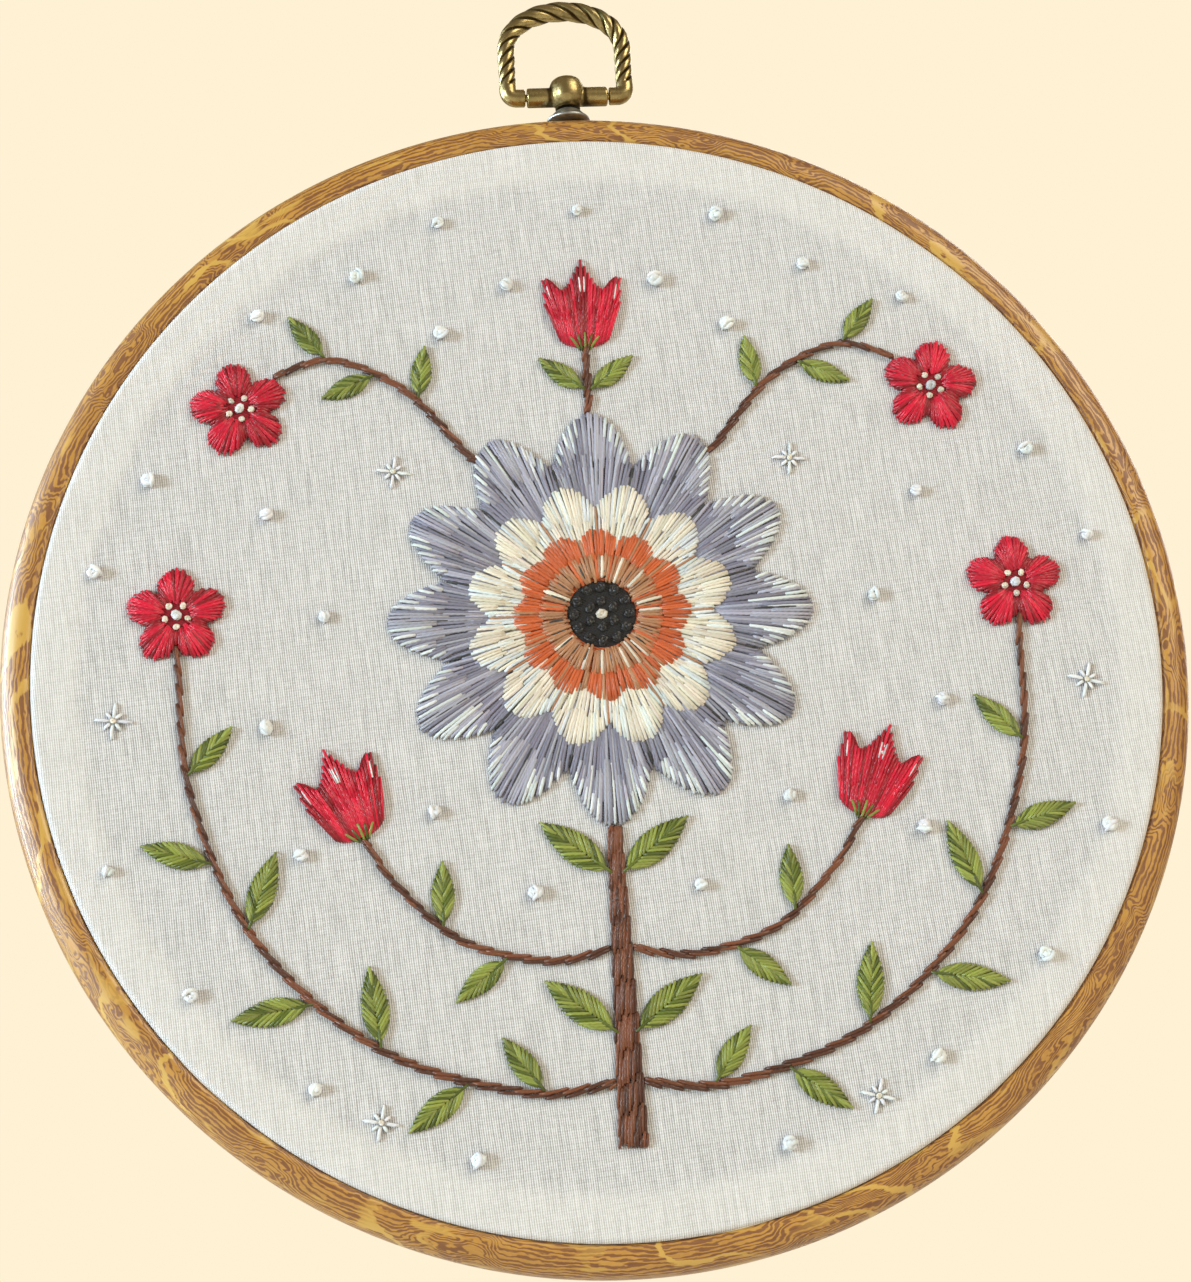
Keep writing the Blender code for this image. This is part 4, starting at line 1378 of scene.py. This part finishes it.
def build_leaves():
    """The leaves in fishbone stitch: slanting stitches from each margin that cross on the rib."""
    stitch = look("stitch")
    stitches = Stitches(37, (0.68, 1.28))
    pads = []
    for base, grow, length, width in leaf_places():
        across = Vector((-grow.y, grow.x))
        for mirror in (1, -1):

            def spot(at, off):
                place = base + grow * length * at + across * off
                return (mirror * place.x, place.y)

            def surface(x, z):
                place = Vector((mirror * x, z)) - base
                at = min(max(place.dot(grow) / length, 0.0), 1.0)
                half = max(leaf_half(at, width), 0.1)
                near = min(1.0, abs(place.dot(across)) / half)
                return 0.16 + 0.4 * dome(near, 2.5)

            count = max(7, round(length / 0.84))
            for k in range(count):
                at = 0.1 + 0.86 * (k + 0.5) / count
                for side in (-1, 1):
                    root = max(0.0, at - 2.6 / length - 0.05)
                    half = leaf_half(at, width)
                    tone = stitch.dark_green if stitches.chance.random() < 0.32 else stitch.green
                    start = spot(at, side * max(half - 0.08, 0.05))
                    end = spot(root, -side * 0.14)
                    stitches.straight(start, end, surface, tone, 0.02 * side, stitch.width * 1.02)
            stitches.straight(spot(0.99, 0.0), spot(0.72, 0.0), surface, stitch.green, 0.1)
            stitches.straight(spot(-0.1, 0.0), spot(0.22, 0.0), surface, stitch.dark_green, 0.06)
            way_up = (0.15, 0.3, 0.5, 0.7, 0.85)
            outline = [spot(0.04, 0.0)] + [spot(at, leaf_half(at, width) * 0.86) for at in way_up]
            outline += [spot(0.95, 0.0)] + [spot(at, -leaf_half(at, width) * 0.86) for at in way_up[::-1]]
            # The pad is dark green, darker than the leaf's thread, as painted shade in the gaps
            pads.append((outline, 0.4, stitch.dark_green))
    stitched(stitches, "leaf", "green_thread", numbered("leaf", 2 * len(RIGHT_LEAVES)), pads)


def tulip_outline(steps=8):
    """A tulip's rounded outline, closed, from its base up the right-hand side."""
    sides = []
    for first, last in ((0, 4), (4, 6), (6, 7)):
        points = TULIP_HALF[first : last + 1]
        sides += [tuple(place) for place, _ in smooth_route(points, steps * (last - first))][:-1]
    right = sides + [TULIP_HALF[-1]]
    return right + [(-x, z) for x, z in right[-2:0:-1]]


def crossings(outline, origin, way):
    """Distances from the origin at which a line along way crosses the outline."""
    found = []
    for a, b in zip(outline, outline[1:] + outline[:1]):
        edge = (b[0] - a[0], b[1] - a[1])
        det = edge[0] * way[1] - edge[1] * way[0]
        if abs(det) < 1e-9:
            continue
        dx, dz = a[0] - origin[0], a[1] - origin[1]
        part = (way[0] * dz - way[1] * dx) / det
        if 0.0 <= part < 1.0:
            found.append((edge[0] * dz - edge[1] * dx) / det)
    return sorted(found)


def build_tulips():
    """The tulips in padded satin stitch: fans of crimson from the foot of the cup to the three tips."""
    stitch = look("stitch")
    stitches = Stitches(41, (0.68, 1.18))
    outline = tulip_outline()
    low = (0.0, TULIP_LOW)
    pads = []
    placed = [(*TOP_TULIP, 1)] + [(*tulip, side) for tulip in RIGHT_TULIPS for side in (1, -1)]
    for base, lean, side in placed:
        turn = Matrix.Rotation(math.radians(lean), 2)

        def spot(x, z):
            place = Vector((x, z))
            place.rotate(turn)
            return (side * (base[0] + place.x), base[1] + place.y)

        def surface(x, z):
            place = Vector((side * x - base[0], z - base[1]))
            place.rotate(turn.inverted())
            away = Vector((place.x, place.y - 6.0))
            reach = crossings(outline, (0.0, 6.0), away.normalized()) if away.length > 0.05 else [9.0]
            edge = max([distance for distance in reach if distance > 0] or [9.0])
            near = min(1.0, away.length / edge)
            ridge = 0.1 * math.cos(place.x * 1.7) if place.y > 4 else 0.0
            return 0.2 + 0.78 * dome(near, 3) + ridge * (1 - near)

        for k in range(TULIP_RAYS):
            angle = TULIP_FAN * ((k + 0.5) / TULIP_RAYS * 2 - 1)
            way = (math.sin(angle), math.cos(angle))
            hits = crossings(outline, low, way)
            if len(hits) < 2:
                continue
            start, end = hits[-1], hits[0]
            middle = start + (end - start) * (0.5 + stitches.chance.uniform(-0.2, 0.2))
            lower = middle + (start - end) * stitches.chance.uniform(0.04, 0.16)
            deep = 0.11 < abs(angle) < 0.155 or stitches.chance.random() < 0.22
            tone = stitch.deep_crimson if deep else stitch.crimson
            points = [(low[0] + way[0] * d, low[1] + way[1] * d) for d in (start, middle, lower, end)]
            a, b, c, d = (spot(*point) for point in points)
            if start - end > 7.0:
                stitches.straight(c, d, surface, tone, 0.0)
                stitches.straight(a, b, surface, tone, 0.06)
            else:
                stitches.straight(a, d, surface, tone, 0.03)
        for x in (-0.42, 0.0, 0.42):
            a, b = spot(x, 12.2 - abs(x) * 1.5), spot(x * 0.7, 8.6)
            stitches.straight(a, b, surface, stitch.white, 0.14, 0.34)
        for hand in (-1, 1):
            a, b = spot(hand * 5.35, 10.3), spot(hand * 4.8, 7.4)
            stitches.straight(a, b, surface, stitch.white, 0.14, 0.32)
        for k in range(-2, 3):
            a, b = spot(k * 0.36, -0.75 + abs(k) * 0.25), spot(k * 1.15, 2.5 - abs(k) * 0.35)
            stitches.straight(a, b, surface, stitch.dark_green if k % 2 else stitch.green, 0.14, 0.44)
        shrunk = [spot(x * 0.9, 6.0 + (z - 6.0) * 0.9) for x, z in outline[::2]]
        # The pad is deep crimson, darker than the tulip's thread, as painted shade in the gaps
        pads.append((shrunk, 0.8, stitch.deep_crimson))
    stitched(stitches, "tulip", "crimson_thread", numbered("tulip", len(placed)), pads)


def build_blossoms():
    """The four blossoms: five padded crimson petals round a knotted white centre."""
    stitch = look("stitch")
    stitches = Stitches(53, (0.68, 1.18))
    crimson = mixed(stitch.crimson, (0.2, stitch.deep_crimson), edge=stitch.deep_crimson, reach=0.8)
    span = math.tau / BLOSSOM.petals
    pads = []
    placed = [(centre, turn, side) for centre, turn in RIGHT_BLOSSOMS for side in (1, -1)]
    for place, degrees, side in placed:
        centre = (side * place[0], place[1])
        turn = side * math.radians(degrees)

        def surface(x, z):
            dx, dz = x - centre[0], z - centre[1]
            angle = math.atan2(dx, dz) - turn
            near = min(1.0, math.hypot(dx, dz) / BLOSSOM.edge(angle))
            ridge = 0.7 + 0.3 * abs(math.cos(BLOSSOM.petals * angle / 2))
            return 0.18 + 0.82 * ridge * dome(near, 3)

        petal_row(
            stitches, centre, BLOSSOM.petals, turn, 17, BLOSSOM.edge, 2.0, 0.78, surface, crimson, 0.03, 0.5
        )
        for petal in range(BLOSSOM.petals):
            axis = turn + petal * span
            for off in (-0.09, 0.09):
                ends = (axis + off, 4.9), (axis + off * 0.5, 2.6)
                stitches.spoke(centre, *ends, surface, stitch.deep_crimson, 0.12, 0.3)
            axis += span / 2
            stitches.spoke(centre, (axis, 4.4), (axis, 2.2), surface, stitch.deep_crimson, 0.1)
            stitches.knot(*polar(centre, axis, 1.75), 1.25, stitch.cream, 0.62)
        stitches.knot(*centre, 1.9, stitch.white, 0.6)
        # The pad is deep crimson, darker than the petals' thread, as painted shade in the gaps
        pads.append((BLOSSOM.outline(centre, turn, 0.55), 0.8, stitch.deep_crimson))
    stitched(stitches, "blossom", "crimson_thread", numbered("blossom", len(placed)), pads)


def flat_surface(x, z):
    """A single strand lying on the cloth."""
    return 0.13


def build_knots():
    """White knots and small stars scattered in mirrored pairs over the cloth."""
    stitch = look("stitch")
    stitches = Stitches(67, (0.92, 1.08))
    chance = stitches.chance
    spots = list(MIDDLE_KNOTS) + [(side * x, z) for x, z in RIGHT_KNOTS for side in (1, -1)]
    for spot in spots:
        across = chance.uniform(2.1, 2.8)
        stitches.knot(*spot, across, stitch.white)
        angle = chance.uniform(0.0, math.tau)
        ends = (angle, across * 0.46), (angle + 2.4, across * 0.42)
        bow = across * chance.uniform(-0.3, 0.3)
        stitches.spoke(spot, *ends, flat_surface, stitch.white, across * 0.38, across * 0.3, bow)
    for x, z, reach in RIGHT_STARS:
        for side in (1, -1):
            centre = (side * x, z)
            turn = chance.uniform(0.0, 0.3)
            for k in range(8):
                angle = turn + math.tau * k / 8
                out = reach if k % 2 == 0 else reach * 0.62
                stitches.spoke(centre, (angle, out), (angle, 0.35), flat_surface, stitch.white, 0.16, 0.56)
            stitches.knot(*centre, 1.1, stitch.cream, 0.3)
    shown("white_knots", stitches.mesh(), "white_thread")


def aimed(name, place, size, power, colour, spread):
    """A soft rectangular light that looks at the middle of the hoop."""
    light = bpy.data.lights.new(name, "AREA")
    light.shape = "RECTANGLE"
    light.size, light.size_y = size
    light.energy = power
    light.color = colour
    light.spread = math.radians(spread)
    way = Vector((0.0, 0.0, HOOP_Z)) - Vector(place)
    turn = way.to_track_quat("-Z", "Y").to_matrix().to_4x4()
    put(name, light).matrix_world = Matrix.Translation(place) @ turn


def build_light():
    """Daylight from the left, a weaker fill from the right and a plain pale surround."""
    stage = look("stage")
    for name, settings in LIGHTS.items():
        aimed(name, *settings)
    world = bpy.data.worlds.new("pale_surround")
    world.use_nodes = True
    bpy.context.scene.world = world
    tree = Tree(world.node_tree)
    seen = tree.node("ShaderNodeBackground", inputs={"Color": (*stage.backdrop, 1.0), "Strength": 1.0})
    fill = tree.node("ShaderNodeBackground", inputs={"Color": SURROUND, "Strength": stage.fill})
    ray = tree.node("ShaderNodeLightPath", output="Is Camera Ray")
    both = tree.node("ShaderNodeMixShader", inputs={0: ray, 1: fill, 2: seen})
    tree.node("ShaderNodeOutputWorld", inputs={"Surface": both})


def build_floor():
    """The pale floor below the hanging hoop."""
    shape = bmesh.new()
    bmesh.ops.create_circle(shape, cap_ends=True, radius=FLOOR_RADIUS, segments=96)
    bmesh.ops.translate(shape, verts=shape.verts, vec=(0, 0, look("stage").floor_z))
    mesh = plain_mesh(shape)
    mesh.materials.append(finish("pale_floor"))
    put("floor", mesh)


def build_camera():
    """The photograph's view: from a little left and below, leaning slightly."""
    ahead = Vector(CAMERA_AHEAD).normalized()
    level = ahead.cross(Vector((0, 0, 1))).normalized()
    steep = level.cross(ahead)
    cos, sin = math.cos(CAMERA_ROLL), math.sin(CAMERA_ROLL)
    right, up = cos * level + sin * steep, cos * steep - sin * level
    camera = bpy.data.cameras.new("camera")
    camera.lens = look("stage").lens
    camera.sensor_width = 36.0
    camera.clip_start = 0.01
    made = put("camera", camera)
    made.matrix_world = Matrix.Translation(CAMERA_PLACE) @ Matrix((right, up, -ahead)).transposed().to_4x4()
    bpy.context.scene.camera = made
    bpy.context.scene.view_settings.view_transform = "Standard"


class HOOPART_OT_outer_hoop(bpy.types.Operator):
    """Build the printed outer hoop"""

    bl_idname = "hoopart.outer_hoop"
    bl_label = "Outer hoop"

    def execute(self, context):
        build_outer_hoop()
        return {"FINISHED"}


class HOOPART_OT_inner_hoop(bpy.types.Operator):
    """Build the plain inner hoop"""

    bl_idname = "hoopart.inner_hoop"
    bl_label = "Inner hoop"

    def execute(self, context):
        build_inner_hoop()
        return {"FINISHED"}


class HOOPART_OT_cloth(bpy.types.Operator):
    """Stretch the cotton over the inner hoop"""

    bl_idname = "hoopart.cloth"
    bl_label = "Cloth"

    def execute(self, context):
        build_cloth()
        return {"FINISHED"}


class HOOPART_OT_hanger(bpy.types.Operator):
    """Build the collar, the hub and the rope ring"""

    bl_idname = "hoopart.hanger"
    bl_label = "Hanger"

    def execute(self, context):
        build_collar()
        build_hub()
        build_ring()
        return {"FINISHED"}


class HOOPART_OT_main_flower(bpy.types.Operator):
    """Stitch the big flower"""

    bl_idname = "hoopart.main_flower"
    bl_label = "Main flower"

    def execute(self, context):
        build_main_flower()
        return {"FINISHED"}


class HOOPART_OT_stems(bpy.types.Operator):
    """Stitch the stems and branches"""

    bl_idname = "hoopart.stems"
    bl_label = "Stems"

    def execute(self, context):
        build_stems()
        return {"FINISHED"}


class HOOPART_OT_leaves(bpy.types.Operator):
    """Stitch the leaves"""

    bl_idname = "hoopart.leaves"
    bl_label = "Leaves"

    def execute(self, context):
        build_leaves()
        return {"FINISHED"}


class HOOPART_OT_tulips(bpy.types.Operator):
    """Stitch the tulips"""

    bl_idname = "hoopart.tulips"
    bl_label = "Tulips"

    def execute(self, context):
        build_tulips()
        return {"FINISHED"}


class HOOPART_OT_blossoms(bpy.types.Operator):
    """Stitch the blossoms"""

    bl_idname = "hoopart.blossoms"
    bl_label = "Blossoms"

    def execute(self, context):
        build_blossoms()
        return {"FINISHED"}


class HOOPART_OT_knots(bpy.types.Operator):
    """Stitch the white knots and stars"""

    bl_idname = "hoopart.knots"
    bl_label = "White knots"

    def execute(self, context):
        build_knots()
        return {"FINISHED"}


class HOOPART_OT_stage(bpy.types.Operator):
    """Set up the floor, the light and the camera"""

    bl_idname = "hoopart.stage"
    bl_label = "Stage"

    def execute(self, context):
        build_floor()
        build_light()
        build_camera()
        return {"FINISHED"}


OPERATORS = (
    HOOPART_OT_outer_hoop,
    HOOPART_OT_inner_hoop,
    HOOPART_OT_cloth,
    HOOPART_OT_hanger,
    HOOPART_OT_main_flower,
    HOOPART_OT_stems,
    HOOPART_OT_leaves,
    HOOPART_OT_tulips,
    HOOPART_OT_blossoms,
    HOOPART_OT_knots,
    HOOPART_OT_stage,
)


class HOOPART_PT_panel(bpy.types.Panel):
    """Every piece, with the settings it is built from"""

    bl_label = "Hoop art"
    bl_idname = "HOOPART_PT_panel"
    bl_space_type = "VIEW_3D"
    bl_region_type = "UI"
    bl_category = "Hoop art"

    def draw(self, context):
        for made in OPERATORS:
            self.layout.operator(made.bl_idname)
        for name, group in GROUPS.items():
            box = self.layout.box()
            box.label(text=name.capitalize())
            for setting in group.__annotations__:
                box.prop(getattr(context.scene.hoop_art, name), setting)


CLASSES = (*GROUPS.values(), HoopArt, *OPERATORS, HOOPART_PT_panel)


def register():
    for made in CLASSES:
        bpy.utils.register_class(made)
    bpy.types.Scene.hoop_art = bpy.props.PointerProperty(type=HoopArt)


def unregister():
    del bpy.types.Scene.hoop_art
    for made in reversed(CLASSES):
        bpy.utils.unregister_class(made)


def main():
    register()
    for made in OPERATORS:
        group, name = made.bl_idname.split(".")
        getattr(getattr(bpy.ops, group), name)()
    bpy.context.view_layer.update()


if __name__ == "__main__":
    main()
